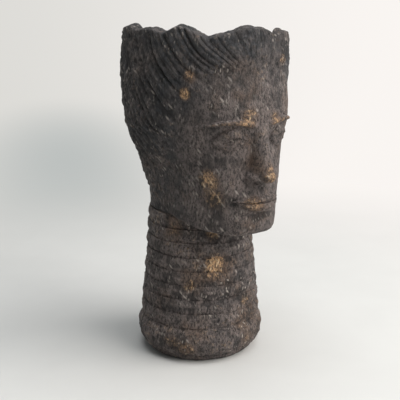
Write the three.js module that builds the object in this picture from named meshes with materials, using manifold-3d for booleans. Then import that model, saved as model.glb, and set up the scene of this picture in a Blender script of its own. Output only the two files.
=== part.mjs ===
// A hand-built head vase: a clay head, open at the crown, on a long neck of stacked coils.
// Millimetres, +Z up. The origin is the middle of the foot's underside, and the face looks along -Y.
// Each piece of clay that the maker put on is a mesh of its own: slab, foot, coils, the bands of the
// head's wall, features and locks of hair.
import * as THREE from "three";
import { mergeVertices } from "three/addons/utils/BufferGeometryUtils.js";
import Module from "manifold-3d";

const wasm = await Module();
wasm.setup();

// Clearances
const JOINT_GAP = 0.3; // between two pieces that are pressed together
const BAND_GAP = 0.6; // between two bands of the head's wall
const LOCK_BED = 0.9; // between the head wall and a lock that lies on it
const SINK = 3; // how far a feature reaches into the wall before its seat is cut

// Floor slab
const SLAB_THICKNESS = 7;
const SLAB_CONTACT_RADIUS = 48.5;
const SLAB_TOP_RADIUS = 55.5;

// Foot ring
const FOOT_HEIGHT = 29.7;
const FOOT_WIDEST_RADIUS = 63.8;
const FOOT_WIDEST_RISE = 17; // above the foot ring's own underside
const FOOT_WALL = 11;

// Neck coils
const COIL_COUNT = 8;
const COIL_HEIGHT = 13.7;
const COIL_THICKNESS = 11;
const COIL_BULGE = 2.2;
const NECK_BOTTOM_RADIUS = 60.4;
const NECK_TOP_RADIUS = 51.6;

// Head wall
const HEAD_WALL = 8;
const HEAD_FRONT_REACH = 99;
const HEAD_SIDE_REACH = 70;
const HEAD_BACK_REACH = 74;
const CHIN_DROP = 12; // how far the chin hangs below the neck joint
const FACE_THIRD = 51.5; // chin to nose base, nose base to brow, and brow to hairline
const CROWN_RISE = 28.5; // hairline to the rim's mean height
const RIM_LOBE = 7; // the rim's rise and fall
const OVER_RIM = 20; // how far the wall's surface is carried on above the rim, for the locks' tips
const FACE_FULLNESS = 2.45; // of the head's outline from above: 2 is an ellipse, and more is squarer
const BACK_FULLNESS = 2.05;

// Face
const EYE_WIDTH = 27;
const EYE_OPENING = 12;
const EYE_LIFT = 4.5;
const EYELID_WIDTH = 4.6;
const EYELID_LIFT = 6;
const BROW_WIDTH = 8;
const BROW_LENGTH = 42;
const BROW_LIFT = 4.5;
const NOSE_BRIDGE_WIDTH = 13;
const NOSE_WIDTH = 31;
const NOSE_LIFT = 20;
const MOUTH_WIDTH = 48;
const LIP_HEIGHT = 8;
const LIP_LIFT = 5.5;
const SOCKET_DEPTH = 6.5;
const CHEEK_LIFT = 3;
const MUZZLE_LIFT = 3.5;
const CHIN_LIFT = 4;

// Hair
const LOCK_THICKNESS = 6.5;
const LOCK_EDGE_THICKNESS = 1.8;
const LOCK_SWELL = 45; // how far from the hairline a lock has swollen to its full thickness
const LOCK_TIP_RISE = 1;
const GROOVE_DEPTH = 2.6; // of the deepest groove raked down a lock
const LOCK_LEAN = 1.3; // 1 is an even lean, and more leans further back low down

// Steps in the drawing
const RING_STEPS = 36;
const ARC_STEPS = 4;
const HEAD_COLUMNS = 64;
const OUTER_ROWS = 24; // two for each point of the head's outlines, from joint to rim
const FEATURE_STATIONS = 8;
const LOCK_STATIONS = 10;

// Where each ring sits
const FOOT_BASE = SLAB_THICKNESS + JOINT_GAP;
const NECK_BASE = FOOT_BASE + FOOT_HEIGHT + JOINT_GAP;
const COIL_PITCH = COIL_HEIGHT + JOINT_GAP;
const HEAD_BASE = NECK_BASE + COIL_COUNT * COIL_PITCH;
const HEAD_JOINT_RADIUS = NECK_TOP_RADIUS - COIL_BULGE;
const NECK_BORE_RADIUS = NECK_TOP_RADIUS - COIL_THICKNESS;

// The face's levels, in thirds from the chin
const CHIN_Z = HEAD_BASE - CHIN_DROP;
const NOSE_BASE_Z = CHIN_Z + FACE_THIRD;
const BROW_Z = NOSE_BASE_Z + FACE_THIRD;
const HAIRLINE_Z = BROW_Z + FACE_THIRD;
const RIM_Z = HAIRLINE_Z + CROWN_RISE;
const MOUTH_THIRD_SHARE = 2 / 3;
const EYE_THIRD_SHARE = 0.24;
const MOUTH_Z = CHIN_Z + FACE_THIRD * MOUTH_THIRD_SHARE;
const EYE_Z = BROW_Z - FACE_THIRD * EYE_THIRD_SHARE;

const lerp = THREE.MathUtils.lerp;
const smoothstep = THREE.MathUtils.smoothstep;
const degToRad = THREE.MathUtils.degToRad;

// Clays

function clay(color, roughness) {
  return new THREE.MeshStandardMaterial({ color, roughness, metalness: 0 });
}

const CLAY = {
  neck: clay(0x3b3330, 0.85),
  face: clay(0x4a403d, 0.82),
  feature: clay(0x54463f, 0.8),
  hair: clay(0x332e2d, 0.86),
};

const vase = new THREE.Group();
vase.name = "figural_vase";

function place(name, geometry, material, z = 0) {
  const mesh = new THREE.Mesh(geometry, material);
  mesh.name = name;
  mesh.position.z = z;
  vase.add(mesh);
}

// Shapes

// A closed ring turned about Z from a profile of [radius, height] points that runs round the section.
function turned(points) {
  const closed = [...points, points[0]].map(([r, z]) => new THREE.Vector2(r, z));
  return new THREE.LatheGeometry(closed, RING_STEPS).rotateX(Math.PI / 2);
}

// A quarter of an ellipse from [r, z] at start to [r, z] at end, bulging outwards at the end named wide.
function quarter(start, end, wide) {
  const [a, b] = wide === "end" ? [start, end] : [end, start];
  const points = [];
  for (let i = 0; i <= ARC_STEPS; i++) {
    const angle = ((i / ARC_STEPS) * Math.PI) / 2;
    const r = a[0] + (b[0] - a[0]) * Math.sin(angle);
    const z = b[1] + (a[1] - b[1]) * Math.cos(angle);
    points.push([r, z]);
  }
  return wide === "end" ? points : points.reverse();
}

function signedVolume(geometry) {
  const p = geometry.attributes.position;
  const index = geometry.index.array;
  const [a, b, c] = [new THREE.Vector3(), new THREE.Vector3(), new THREE.Vector3()];
  let sum = 0;
  for (let i = 0; i < index.length; i += 3) {
    a.fromBufferAttribute(p, index[i]);
    b.fromBufferAttribute(p, index[i + 1]);
    c.fromBufferAttribute(p, index[i + 2]);
    sum += a.dot(b.cross(c)) / 6;
  }
  return sum;
}

// The triangles of a cap over a loop of points, in a strip that runs from its first and last points
// to its middle ones.
function capStrip(first, size) {
  const index = [];
  let [low, high] = [0, size - 1];
  while (high - low > 1) {
    index.push(first + low, first + low + 1, first + high);
    if (high - low > 2) index.push(first + low + 1, first + high - 1, first + high);
    low += 1;
    high -= 1;
  }
  return index;
}

// The triangles of a cap over a loop with hollows in it, from the loop's flat outline.
function capFaces(first, outline) {
  const turn = Math.sign(THREE.ShapeUtils.area(outline));
  return THREE.ShapeUtils.triangulateShape(outline, []).flatMap((corners) => {
    const face = Math.sign(THREE.ShapeUtils.area(corners.map((corner) => outline[corner])));
    const ordered = face === turn ? corners : [...corners].reverse();
    return ordered.map((corner) => corner + first);
  });
}

// A skin over loops of points, one loop after another. A ring joins the last loop to the first;
// otherwise both ends are capped, from their flat outlines where these are given.
function loft(loops, ring = false, outlines = null) {
  const size = loops[0].length;
  const positions = loops.flat();
  const index = [];
  const joins = ring ? loops.length : loops.length - 1;
  for (let i = 0; i < joins; i++) {
    const here = i * size;
    const next = ((i + 1) % loops.length) * size;
    for (let j = 0; j < size; j++) {
      const k = (j + 1) % size;
      index.push(here + j, here + k, next + j, here + k, next + k, next + j);
    }
  }
  if (!ring) {
    const lastLoop = (loops.length - 1) * size;
    const cap = (first, outline) => (outline ? capFaces(first, outline) : capStrip(first, size));
    index.push(...cap(0, outlines?.at(0)).reverse(), ...cap(lastLoop, outlines?.at(-1)));
  }
  const geometry = new THREE.BufferGeometry().setFromPoints(positions).setIndex(index);
  if (signedVolume(geometry) < 0) geometry.setIndex([...index].reverse());
  return geometry;
}

function toSolid(geometry) {
  const bare = new THREE.BufferGeometry();
  bare.setAttribute("position", geometry.attributes.position);
  bare.setIndex(geometry.index);
  const merged = mergeVertices(bare);
  return new wasm.Manifold(
    new wasm.Mesh({
      numProp: 3,
      vertProperties: merged.attributes.position.array,
      triVerts: new Uint32Array(merged.index.array),
    }),
  );
}

function toGeometry(solid) {
  const mesh = solid.getMesh();
  const geometry = new THREE.BufferGeometry();
  geometry.setAttribute("position", new THREE.BufferAttribute(mesh.vertProperties, 3));
  return geometry.setIndex(new THREE.BufferAttribute(mesh.triVerts, 1));
}

// Foot and neck

function floorSlab() {
  const edge = quarter([SLAB_CONTACT_RADIUS, 0], [SLAB_TOP_RADIUS, SLAB_THICKNESS], "end");
  const profile = [[0, 0], ...edge, [0, SLAB_THICKNESS]].map(([r, z]) => new THREE.Vector2(r, z));
  return new THREE.LatheGeometry(profile, RING_STEPS).rotateX(Math.PI / 2);
}

function footRing() {
  const topRadius = NECK_BOTTOM_RADIUS - COIL_BULGE;
  const widest = [FOOT_WIDEST_RADIUS, FOOT_WIDEST_RISE];
  const lower = quarter([SLAB_TOP_RADIUS, 0], widest, "end");
  const upper = quarter(widest, [topRadius, FOOT_HEIGHT], "start").slice(1);
  const inner = [
    [NECK_BOTTOM_RADIUS - COIL_THICKNESS, FOOT_HEIGHT],
    [FOOT_WIDEST_RADIUS - FOOT_WALL, FOOT_WIDEST_RISE],
    [SLAB_TOP_RADIUS - FOOT_WALL, 0],
  ];
  return turned([...lower, ...upper, ...inner]);
}

function neckCoil(radius) {
  const shoulder = radius - COIL_BULGE;
  const bore = radius - COIL_THICKNESS;
  const middle = COIL_HEIGHT / 2;
  const lower = quarter([shoulder, 0], [radius, middle], "end");
  const upper = quarter([radius, middle], [shoulder, COIL_HEIGHT], "start").slice(1);
  const thinned = [...lower, ...upper].filter((_, i) => i % 2 === 0);
  return turned([...thinned, [bore, COIL_HEIGHT], [bore, 0]]);
}

// Head surface

// Heights of the outlines' points. Below the mouth the front follows the chin and the sides follow the
// neck; from the mouth up both are the same.
const FRONT_LOW_DROP_SHARES = [0, 0.5, 0.98, 0.72]; // of the chin's drop, joint to chin
const SIDE_LOW_RISE_SHARES = [0, 0.2, 0.45, 0.7]; // of the rise from joint to mouth
const CHIN_FRONT_SHARE = 0.4; // of the rise from chin to mouth
const SIDE_CHIN_SHARE = 0.86; // of the rise from joint to mouth
const CHEEK_THIRD_SHARE = 0.36; // of the middle third, above the nose base
const FOREHEAD_THIRD_SHARE = 0.5; // of the upper third, above the brow

// Reach at each of those points, from the joint's radius (0) to the full reach (1)
const FRONT_REACH_SHARES = [0, 0.3, 0.66, 0.87, 0.92, 0.93, 0.91, 0.9, 0.92, 0.96, 0.95, 0.86, 0.78, 0.75];
const SIDE_REACH_SHARES = [0, -0.02, -0.03, -0.01, 0, 0.02, 0.13, 0.43, 0.77, 0.92, 1, 1, 0.94, 0.91];
const BACK_REACH_SHARES = [0, -0.05, -0.11, -0.14, -0.16, -0.16, -0.06, 0.17, 0.48, 0.68, 0.92, 0.96, 0.9, 0.87];

const UPPER_HEIGHTS = [
  MOUTH_Z,
  NOSE_BASE_Z,
  NOSE_BASE_Z + FACE_THIRD * CHEEK_THIRD_SHARE,
  EYE_Z,
  BROW_Z,
  BROW_Z + FACE_THIRD * FOREHEAD_THIRD_SHARE,
  HAIRLINE_Z,
  RIM_Z,
  RIM_Z + OVER_RIM,
];
const FRONT_HEIGHTS = [
  ...FRONT_LOW_DROP_SHARES.map((share) => HEAD_BASE - CHIN_DROP * share),
  lerp(CHIN_Z, MOUTH_Z, CHIN_FRONT_SHARE),
  ...UPPER_HEIGHTS,
];
const SIDE_HEIGHTS = [
  ...SIDE_LOW_RISE_SHARES.map((share) => lerp(HEAD_BASE, MOUTH_Z, share)),
  lerp(HEAD_BASE, MOUTH_Z, SIDE_CHIN_SHARE),
  ...UPPER_HEIGHTS,
];

function outline(reach, shares, heights) {
  const point = (share, i) => new THREE.Vector2(lerp(HEAD_JOINT_RADIUS, reach, share), heights[i]);
  return new THREE.SplineCurve(shares.map(point));
}

const FRONT = outline(HEAD_FRONT_REACH, FRONT_REACH_SHARES, FRONT_HEIGHTS);
const SIDE = outline(HEAD_SIDE_REACH, SIDE_REACH_SHARES, SIDE_HEIGHTS);
const BACK = outline(HEAD_BACK_REACH, BACK_REACH_SHARES, SIDE_HEIGHTS);
const LAST_LEVEL = UPPER_HEIGHTS.length + FRONT_LOW_DROP_SHARES.length;
const RIM_LEVEL = (LAST_LEVEL - 1) / LAST_LEVEL;
const HAIRLINE_LEVEL = (LAST_LEVEL - 2) / LAST_LEVEL;
const CHIN_LEVEL = 3 / LAST_LEVEL;

// The rim's wave, round from the nape: angles from the face's middle, positive to the figure's left, and
// the rise there as a share of RIM_LOBE.
const RIM_WAVE_ANGLES = [
  -180, -163, -145, -125, -105, -88, -73, -60, -46, -30, -10, 2, 9, 14, 20, 30, 55, 80, 104, 130, 155, 180,
];
const RIM_WAVE_SHARES = [
  -1.5, -1.9, -0.9, -0.4, 0.85, 0.35, 0.55, 0.15, 0.9, -0.4, 0.7, 0.65, 0, -1.4, -0.3, 0.2, -1.4, -1.9,
  -2.2, -1.3, -2, -1.5,
];
const WAVE_STEPS = 120;
const RIM_WAVE = new THREE.SplineCurve(
  RIM_WAVE_ANGLES.map((angle, i) => new THREE.Vector2(degToRad(angle), RIM_WAVE_SHARES[i])),
).getPoints(WAVE_STEPS);

function rimWave(angle) {
  const turn = THREE.MathUtils.euclideanModulo(angle + Math.PI, 2 * Math.PI) - Math.PI;
  const next = Math.max(1, RIM_WAVE.findIndex((point) => point.x > turn));
  const [a, b] = [RIM_WAVE[next - 1], RIM_WAVE[next]];
  return RIM_LOBE * lerp(a.y, b.y, (turn - a.x) / (b.x - a.x));
}

// Soft forms pushed out of the face's wall, or into it: middle, spread and lift.
const SOCKET_APART = EYE_WIDTH; // from the face's middle to an eye's
const FACE_FORMS = [
  { x: SOCKET_APART, z: EYE_Z, across: EYE_WIDTH * 0.5, up: EYE_OPENING * 0.8, lift: -SOCKET_DEPTH },
  { x: -SOCKET_APART, z: EYE_Z, across: EYE_WIDTH * 0.5, up: EYE_OPENING * 0.8, lift: -SOCKET_DEPTH },
  { x: MOUTH_WIDTH * 0.8, z: NOSE_BASE_Z, across: EYE_WIDTH * 0.55, up: EYE_OPENING, lift: CHEEK_LIFT },
  { x: -MOUTH_WIDTH * 0.8, z: NOSE_BASE_Z, across: EYE_WIDTH * 0.55, up: EYE_OPENING, lift: CHEEK_LIFT },
  { x: 0, z: MOUTH_Z, across: MOUTH_WIDTH * 0.45, up: LIP_HEIGHT * 1.6, lift: MUZZLE_LIFT },
  { x: 0, z: CHIN_Z + LIP_HEIGHT * 1.5, across: NOSE_WIDTH * 0.5, up: LIP_HEIGHT, lift: CHIN_LIFT },
];

function faceRelief(x, z) {
  return FACE_FORMS.reduce((sum, form) => {
    const far = ((x - form.x) / form.across) ** 2 + ((z - form.z) / form.up) ** 2;
    return sum + form.lift * Math.exp(-far);
  }, 0);
}

// The wall's outer surface at an angle from the face's middle and a level from joint (0) up.
function wallPoint(angle, level) {
  const [front, side, back] = [FRONT, SIDE, BACK].map((curve) => curve.getPoint(level));
  const [across, along] = [Math.sin(angle), Math.cos(angle)];
  const reach = along > 0 ? front.x : back.x;
  const fullness = along > 0 ? lerp(FACE_FULLNESS, BACK_FULLNESS, level ** 2) : BACK_FULLNESS;
  const far = Math.abs(across / side.x) ** fullness + Math.abs(along / reach) ** fullness;
  const radius = far ** (-1 / fullness);
  const toRim = smoothstep(level, HAIRLINE_LEVEL, RIM_LEVEL);
  const z = lerp(side.y, front.y, Math.max(0, along)) + rimWave(angle) * toRim;
  const x = radius * across;
  const relief = along > 0 ? faceRelief(x, z) : 0;
  return new THREE.Vector3(x, -radius * along - relief, z);
}

const SLOPE_STEP = 1e-3; // of an angle or a level
const HALVINGS = 30;
const FACE_STEPS = 8;

function wallNormal(angle, level) {
  const low = Math.max(0, level - SLOPE_STEP);
  const high = Math.min(1, level + SLOPE_STEP);
  const up = wallPoint(angle, high).sub(wallPoint(angle, low));
  const round = wallPoint(angle + SLOPE_STEP, level).sub(wallPoint(angle - SLOPE_STEP, level));
  return round.cross(up).normalize();
}

function lifted(angle, level, lift) {
  return wallPoint(angle, level).addScaledVector(wallNormal(angle, level), lift);
}

// The level at which the wall is at height z. Above the chin a higher level is always higher up.
function levelAt(angle, z) {
  let [low, high] = [CHIN_LEVEL, 1];
  for (let i = 0; i < HALVINGS; i++) {
    const middle = (low + high) / 2;
    if (wallPoint(angle, middle).z < z) low = middle;
    else high = middle;
  }
  return (low + high) / 2;
}

// The point of the face at x and z, lifted out of its wall.
function facePoint(x, z, lift) {
  let angle = 0;
  let level = 0;
  for (let i = 0; i < FACE_STEPS; i++) {
    level = levelAt(angle, z);
    const point = wallPoint(angle, level);
    angle = Math.asin(x / Math.hypot(point.x, point.y + faceRelief(point.x, point.z)));
  }
  return lifted(angle, level, lift);
}

// Head wall

// Columns lie closer together across the face than round the back.
const FACE_CROWDING = 0.32;

function columnAngle(i) {
  const turn = (i / HEAD_COLUMNS) * 2 * Math.PI - Math.PI;
  return turn - FACE_CROWDING * Math.sin(turn);
}

function wallLoop(level, lift) {
  return Array.from({ length: HEAD_COLUMNS }, (_, i) => lifted(columnAngle(i), level, lift));
}

// The wall is raised in four bands, which meet above the chin, at the nose's base and at the brow.
const BANDS = [
  { name: "chin_band", fromRow: 0, toRow: 8, innerSteps: 2 },
  { name: "jaw_band", fromRow: 8, toRow: 12, innerSteps: 2 },
  { name: "cheek_band", fromRow: 12, toRow: 18, innerSteps: 2 },
  { name: "crown_band", fromRow: 18, toRow: OUTER_ROWS, innerSteps: 3 },
];
const RIM_ROUNDING_SHARE = 0.5; // how far in the rim's crest lies
const RIM_CREST_SHARE = 0.18; // of the wall, above its two edges
const FIRST_INNER_LEVEL = 2 / LAST_LEVEL;

function rowLevel(row) {
  return (RIM_LEVEL * row) / OUTER_ROWS;
}

function rimCrest() {
  const crest = wallLoop(RIM_LEVEL, -HEAD_WALL * RIM_ROUNDING_SHARE);
  crest.forEach((point) => (point.z += HEAD_WALL * RIM_CREST_SHARE));
  return crest;
}

function neckBore() {
  return Array.from({ length: HEAD_COLUMNS }, (_, i) => {
    const angle = columnAngle(i);
    return new THREE.Vector3(Math.sin(angle), -Math.cos(angle), 0)
      .multiplyScalar(NECK_BORE_RADIUS)
      .setZ(HEAD_BASE);
  });
}

function headBand({ fromRow, toRow, innerSteps }) {
  const loops = [];
  for (let row = fromRow; row <= toRow; row++) loops.push(wallLoop(rowLevel(row), 0));
  if (toRow === OUTER_ROWS) loops.push(rimCrest());
  const innerLow = Math.max(rowLevel(fromRow), FIRST_INNER_LEVEL);
  for (let i = innerSteps; i >= 0; i--) {
    loops.push(wallLoop(lerp(innerLow, rowLevel(toRow), i / innerSteps), -HEAD_WALL));
  }
  if (fromRow === 0) loops.push(neckBore());
  else [...loops[0], ...loops.at(-1)].forEach((point) => (point.z += BAND_GAP));
  return loft(loops, true);
}

// Everything inside the head's outer surface, and the gap that a feature keeps to it.
function seatCutter() {
  const loops = [];
  for (let i = 0; i <= OUTER_ROWS + 1; i++) {
    loops.push(wallLoop(Math.min(1, rowLevel(i)), JOINT_GAP));
  }
  return toSolid(loft(loops));
}

const SEAT_CUTTER = seatCutter();

// Features laid on the face

// A feature is drawn as stations along its length. Each station has points across it, from one edge to
// the other, as [x, z, lift]; the feature's back is sunk into the wall and cut to it.
function feature(stations) {
  const loops = stations.map((points) => {
    const top = points.map(([x, z, lift]) => facePoint(x, z, lift));
    const back = [points.at(-1), points[0]].map(([x, z]) => facePoint(x, z, -SINK));
    return [...top, ...back];
  });
  return toGeometry(toSolid(loft(loops)).subtract(SEAT_CUTTER));
}

const CROSS_SHARES = [0, 0.15, 0.5, 0.85, 1];
const EDGE_LIFT_SHARE = 0.3;

// A strip from start to end in x, between the heights that low(x share) and high(x share) give.
function strip(start, end, low, high, lift) {
  const stations = [];
  for (let i = 0; i <= FEATURE_STATIONS; i++) {
    const share = i / FEATURE_STATIONS;
    const x = lerp(start, end, share);
    const taper = Math.sqrt(Math.sin(Math.PI * lerp(0.06, 0.94, share)));
    stations.push(
      CROSS_SHARES.map((across) => {
        const round = lerp(EDGE_LIFT_SHARE, 1, Math.sin(Math.PI * across));
        return [x, lerp(low(share), high(share), across), lift * round * taper];
      }),
    );
  }
  return feature(stations);
}

const arch = (share) => Math.sin(Math.PI * share);
const MIN_STRIP = 1.2; // the width of a strip's two ends

function eyeParts(side) {
  const inner = side * (SOCKET_APART - EYE_WIDTH / 2);
  const outer = side * (SOCKET_APART + EYE_WIDTH / 2);
  const upperEdge = (share) => EYE_Z + EYE_OPENING * 0.55 * arch(share) + MIN_STRIP / 2;
  const lowerEdge = (share) => EYE_Z - EYE_OPENING * 0.45 * arch(share) - MIN_STRIP / 2;
  const lidTop = (share) => upperEdge(share) + JOINT_GAP + lerp(MIN_STRIP, EYELID_WIDTH, arch(share));
  const lidBottom = (share) => lowerEdge(share) - JOINT_GAP - lerp(MIN_STRIP, EYELID_WIDTH * 0.8, arch(share));
  const browLow = (share) => BROW_Z - BROW_WIDTH / 2 + BROW_WIDTH * 0.7 * arch(lerp(0.1, 0.85, share));
  const browHigh = (share) => browLow(share) + lerp(BROW_WIDTH, BROW_WIDTH / 2, share);
  const browStart = side * (NOSE_BRIDGE_WIDTH / 2 + JOINT_GAP + MIN_STRIP);
  return {
    eye: strip(inner, outer, lowerEdge, upperEdge, EYE_LIFT),
    upper_eyelid: strip(inner, outer, (s) => upperEdge(s) + JOINT_GAP, lidTop, EYELID_LIFT),
    lower_eyelid: strip(inner, outer, lidBottom, (s) => lowerEdge(s) - JOINT_GAP, EYELID_LIFT * 0.8),
    brow: strip(browStart, browStart + side * BROW_LENGTH, browLow, browHigh, BROW_LIFT),
  };
}

// The nose, from root to base: height as a share of the middle third above the base, half width as a
// share from bridge to full, and lift as a share of the full lift.
const NOSE_STATION_SHARES = [
  [1.02, 0, 0.1],
  [0.88, 0, 0.24],
  [0.68, 0.08, 0.42],
  [0.45, 0.22, 0.64],
  [0.26, 0.55, 0.88],
  [0.14, 0.92, 1],
  [0.04, 1, 0.86],
  [0, 0.86, 0.3],
];
// Across the nose: half width share, and lift share there.
const NOSE_CROSS_SHARES = [
  [-1, 0.12],
  [-0.78, 0.42],
  [-0.36, 0.86],
  [0, 1],
  [0.36, 0.86],
  [0.78, 0.42],
  [1, 0.12],
];

function nose() {
  return feature(
    NOSE_STATION_SHARES.map(([height, width, lift]) => {
      const half = lerp(NOSE_BRIDGE_WIDTH, NOSE_WIDTH, width) / 2;
      const z = NOSE_BASE_Z + FACE_THIRD * height;
      return NOSE_CROSS_SHARES.map(([across, rise]) => [half * across, z, NOSE_LIFT * lift * rise]);
    }),
  );
}

const CUPID_DIP_SHARE = 0.16; // of the upper lip's height
const MOUTH_CURVE = 1.6; // how far the mouth's line dips at its middle

function mouthLine(share) {
  return MOUTH_Z - MOUTH_CURVE * arch(share);
}

function upperLip() {
  const peak = (share) => arch(share) - CUPID_DIP_SHARE * arch(share) ** 12;
  const low = (share) => mouthLine(share) + JOINT_GAP / 2;
  const high = (share) => low(share) + MIN_STRIP + LIP_HEIGHT * 0.85 * peak(share);
  return strip(-MOUTH_WIDTH / 2, MOUTH_WIDTH / 2, low, high, LIP_LIFT);
}

function lowerLip() {
  const width = MOUTH_WIDTH * 0.86;
  const high = (share) => mouthLine(lerp(0.07, 0.93, share)) - JOINT_GAP / 2;
  const low = (share) => high(share) - MIN_STRIP - LIP_HEIGHT * arch(share);
  return strip(-width / 2, width / 2, low, high, LIP_LIFT);
}

// Hair

// The edges between locks, from the face's middle round to the nape: where each starts on the hairline,
// as an angle and a share of the height from chin to rim. At the rim they are evenly spaced.
const HAIRLINE_ANGLES = [0, 4, 9, 17, 28, 39, 47, 53.5, 60.5, 72, 100, 140, 180];
const HAIRLINE_SHARES = [0.82, 0.82, 0.815, 0.8, 0.75, 0.665, 0.56, 0.455, 0.345, 0.235, 0.17, 0.15, 0.14];
const LOCK_COUNT = HAIRLINE_ANGLES.length - 1;
const LOCK_BED_SHARES = [1, 0.67, 0.33, 0];
// How open the seam is at each of those edges, from smeared over (0) to cut down to its thin edge (1)
const SEAM_SHARES = [0.2, 0.25, 0.4, 0.85, 0.7, 1, 0.8, 0.95, 0.75, 0.95, 0.8, 1, 0.75];
// The two grooves raked down each lock: where they lie across it, and how deep they are
const GROOVE_PLACE_SHARES = [
  [0.36, 0.7],
  [0.3, 0.72],
  [0.33, 0.64],
  [0.27, 0.62],
  [0.35, 0.7],
  [0.31, 0.66],
  [0.36, 0.69],
  [0.3, 0.65],
  [0.34, 0.7],
  [0.32, 0.64],
  [0.36, 0.67],
  [0.3, 0.66],
];
const GROOVE_DEPTH_SHARES = [
  [0.25, 0.35],
  [0.35, 0.9],
  [0.6, 0.45],
  [1, 0.7],
  [0.9, 0.8],
  [0.7, 0.9],
  [0.8, 0.6],
  [0.9, 0.8],
  [0.6, 0.9],
  [0.9, 0.7],
  [0.7, 0.9],
  [0.9, 0.6],
];
const GROOVE_SHIFT_SHARE = 0.04; // of a lock's width, one way on the left and the other on the right
const SHOULDER_SHARE = 0.8; // of a lock's thickness, beside its edges

// A point on the edge between locks k - 1 and k, at a share of the way from hairline to tip.
function lockEdge(side, k, along) {
  const startAngle = side * degToRad(HAIRLINE_ANGLES[k]);
  const startLevel = levelAt(startAngle, lerp(CHIN_Z, RIM_Z, HAIRLINE_SHARES[k]));
  const endAngle = (side * Math.PI * k) / LOCK_COUNT;
  const swept = 1 - (1 - along) ** LOCK_LEAN;
  return { angle: lerp(startAngle, endAngle, swept), level: lerp(startLevel, RIM_LEVEL, along) };
}

// How thick the hair is at the edge between locks k - 1 and k, before it is raked.
function hairThickness(side, k, along) {
  const [start, tip] = [0, 1].map((end) => lockEdge(side, k, end));
  const length = wallPoint(start.angle, start.level).distanceTo(wallPoint(tip.angle, tip.level));
  const swollen = lerp(0.35, 1, smoothstep(along * length, 0, LOCK_SWELL));
  return LOCK_THICKNESS * swollen * lerp(1, 0.75, along ** 4);
}

// A lock's section at a share of the way to its tip: three strands between two grooves, and the bed.
// Each point is a share across the lock and a lift.
function lockSection(side, k, along) {
  const [near, far] = [k, k + 1].map((n) => hairThickness(side, n, along));
  const strand = (across) => lerp(near, far, across) * lerp(SHOULDER_SHARE, 1, arch(across));
  const seamed = smoothstep(along, 0, 0.2);
  const edge = (n) => lerp(strand(n - k), LOCK_EDGE_THICKNESS, SEAM_SHARES[n] * seamed);
  const raked = GROOVE_DEPTH * smoothstep(along, 0.05, 0.4);
  const [one, two] = GROOVE_PLACE_SHARES[k].map((share) => share + side * GROOVE_SHIFT_SHARE);
  const [depthOne, depthTwo] = GROOVE_DEPTH_SHARES[k].map((share) => share * raked);
  return [
    [0, edge(k)],
    [one / 2, strand(one / 2)],
    [one, strand(one) - depthOne],
    [(one + two) / 2, strand((one + two) / 2)],
    [two, strand(two) - depthTwo],
    [(1 + two) / 2, strand((1 + two) / 2)],
    [1, edge(k + 1)],
    ...LOCK_BED_SHARES.map((share) => [share, LOCK_BED]),
  ];
}

function hairLock(side, k) {
  const tipLevel = (LOCK_TIP_RISE / OVER_RIM) * (1 - RIM_LEVEL);
  const loops = [];
  const outlines = [];
  for (let i = 0; i <= LOCK_STATIONS; i++) {
    const along = i / LOCK_STATIONS;
    const [near, far] = [lockEdge(side, k, along), lockEdge(side, k + 1, along)];
    const apart = wallPoint(near.angle, near.level).distanceTo(wallPoint(far.angle, far.level));
    const clear = JOINT_GAP / apart;
    const section = lockSection(side, k, along);
    const points = section.map(([share, lift]) => {
      const across = lerp(clear, 1 - clear, share);
      const tip = tipLevel * 4 * across * (1 - across) * along ** 3;
      const angle = lerp(near.angle, far.angle, across);
      return lifted(angle, lerp(near.level, far.level, across) + tip, lift);
    });
    loops.push(points);
    outlines.push(section.map(([share, lift]) => new THREE.Vector2(share * apart, lift)));
  }
  return loft(loops, false, outlines);
}

// The vase

place("floor_slab", floorSlab(), CLAY.neck);
place("foot_ring", footRing(), CLAY.neck, FOOT_BASE);
for (let i = 0; i < COIL_COUNT; i++) {
  const radius = lerp(NECK_BOTTOM_RADIUS, NECK_TOP_RADIUS, i / (COIL_COUNT - 1));
  place(`neck_coil_${i + 1}`, neckCoil(radius), CLAY.neck, NECK_BASE + i * COIL_PITCH);
}
BANDS.forEach((band) => place(band.name, headBand(band), CLAY.face));
place("nose", nose(), CLAY.feature);
place("upper_lip", upperLip(), CLAY.feature);
place("lower_lip", lowerLip(), CLAY.feature);
for (const [name, side] of [["left", 1], ["right", -1]]) {
  for (const [part, geometry] of Object.entries(eyeParts(side))) {
    place(`${part}_${name}`, geometry, CLAY.feature);
  }
  for (let k = 0; k < LOCK_COUNT; k++) {
    const number = String(k + 1).padStart(2, "0");
    place(`hair_lock_${name}_${number}`, hairLock(side, k), CLAY.hair);
  }
}

export default vase;
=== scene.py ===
"""A hand-built head vase in dark fired clay: a head open at the crown, raked hair swept back to the
rim, and a long neck of stacked coils.

Metres, +Z up, and the face looks along -Y. Every piece stands for clay that the maker put on by
itself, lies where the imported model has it, and has its surface worked here.
"""

import itertools
import math

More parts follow.
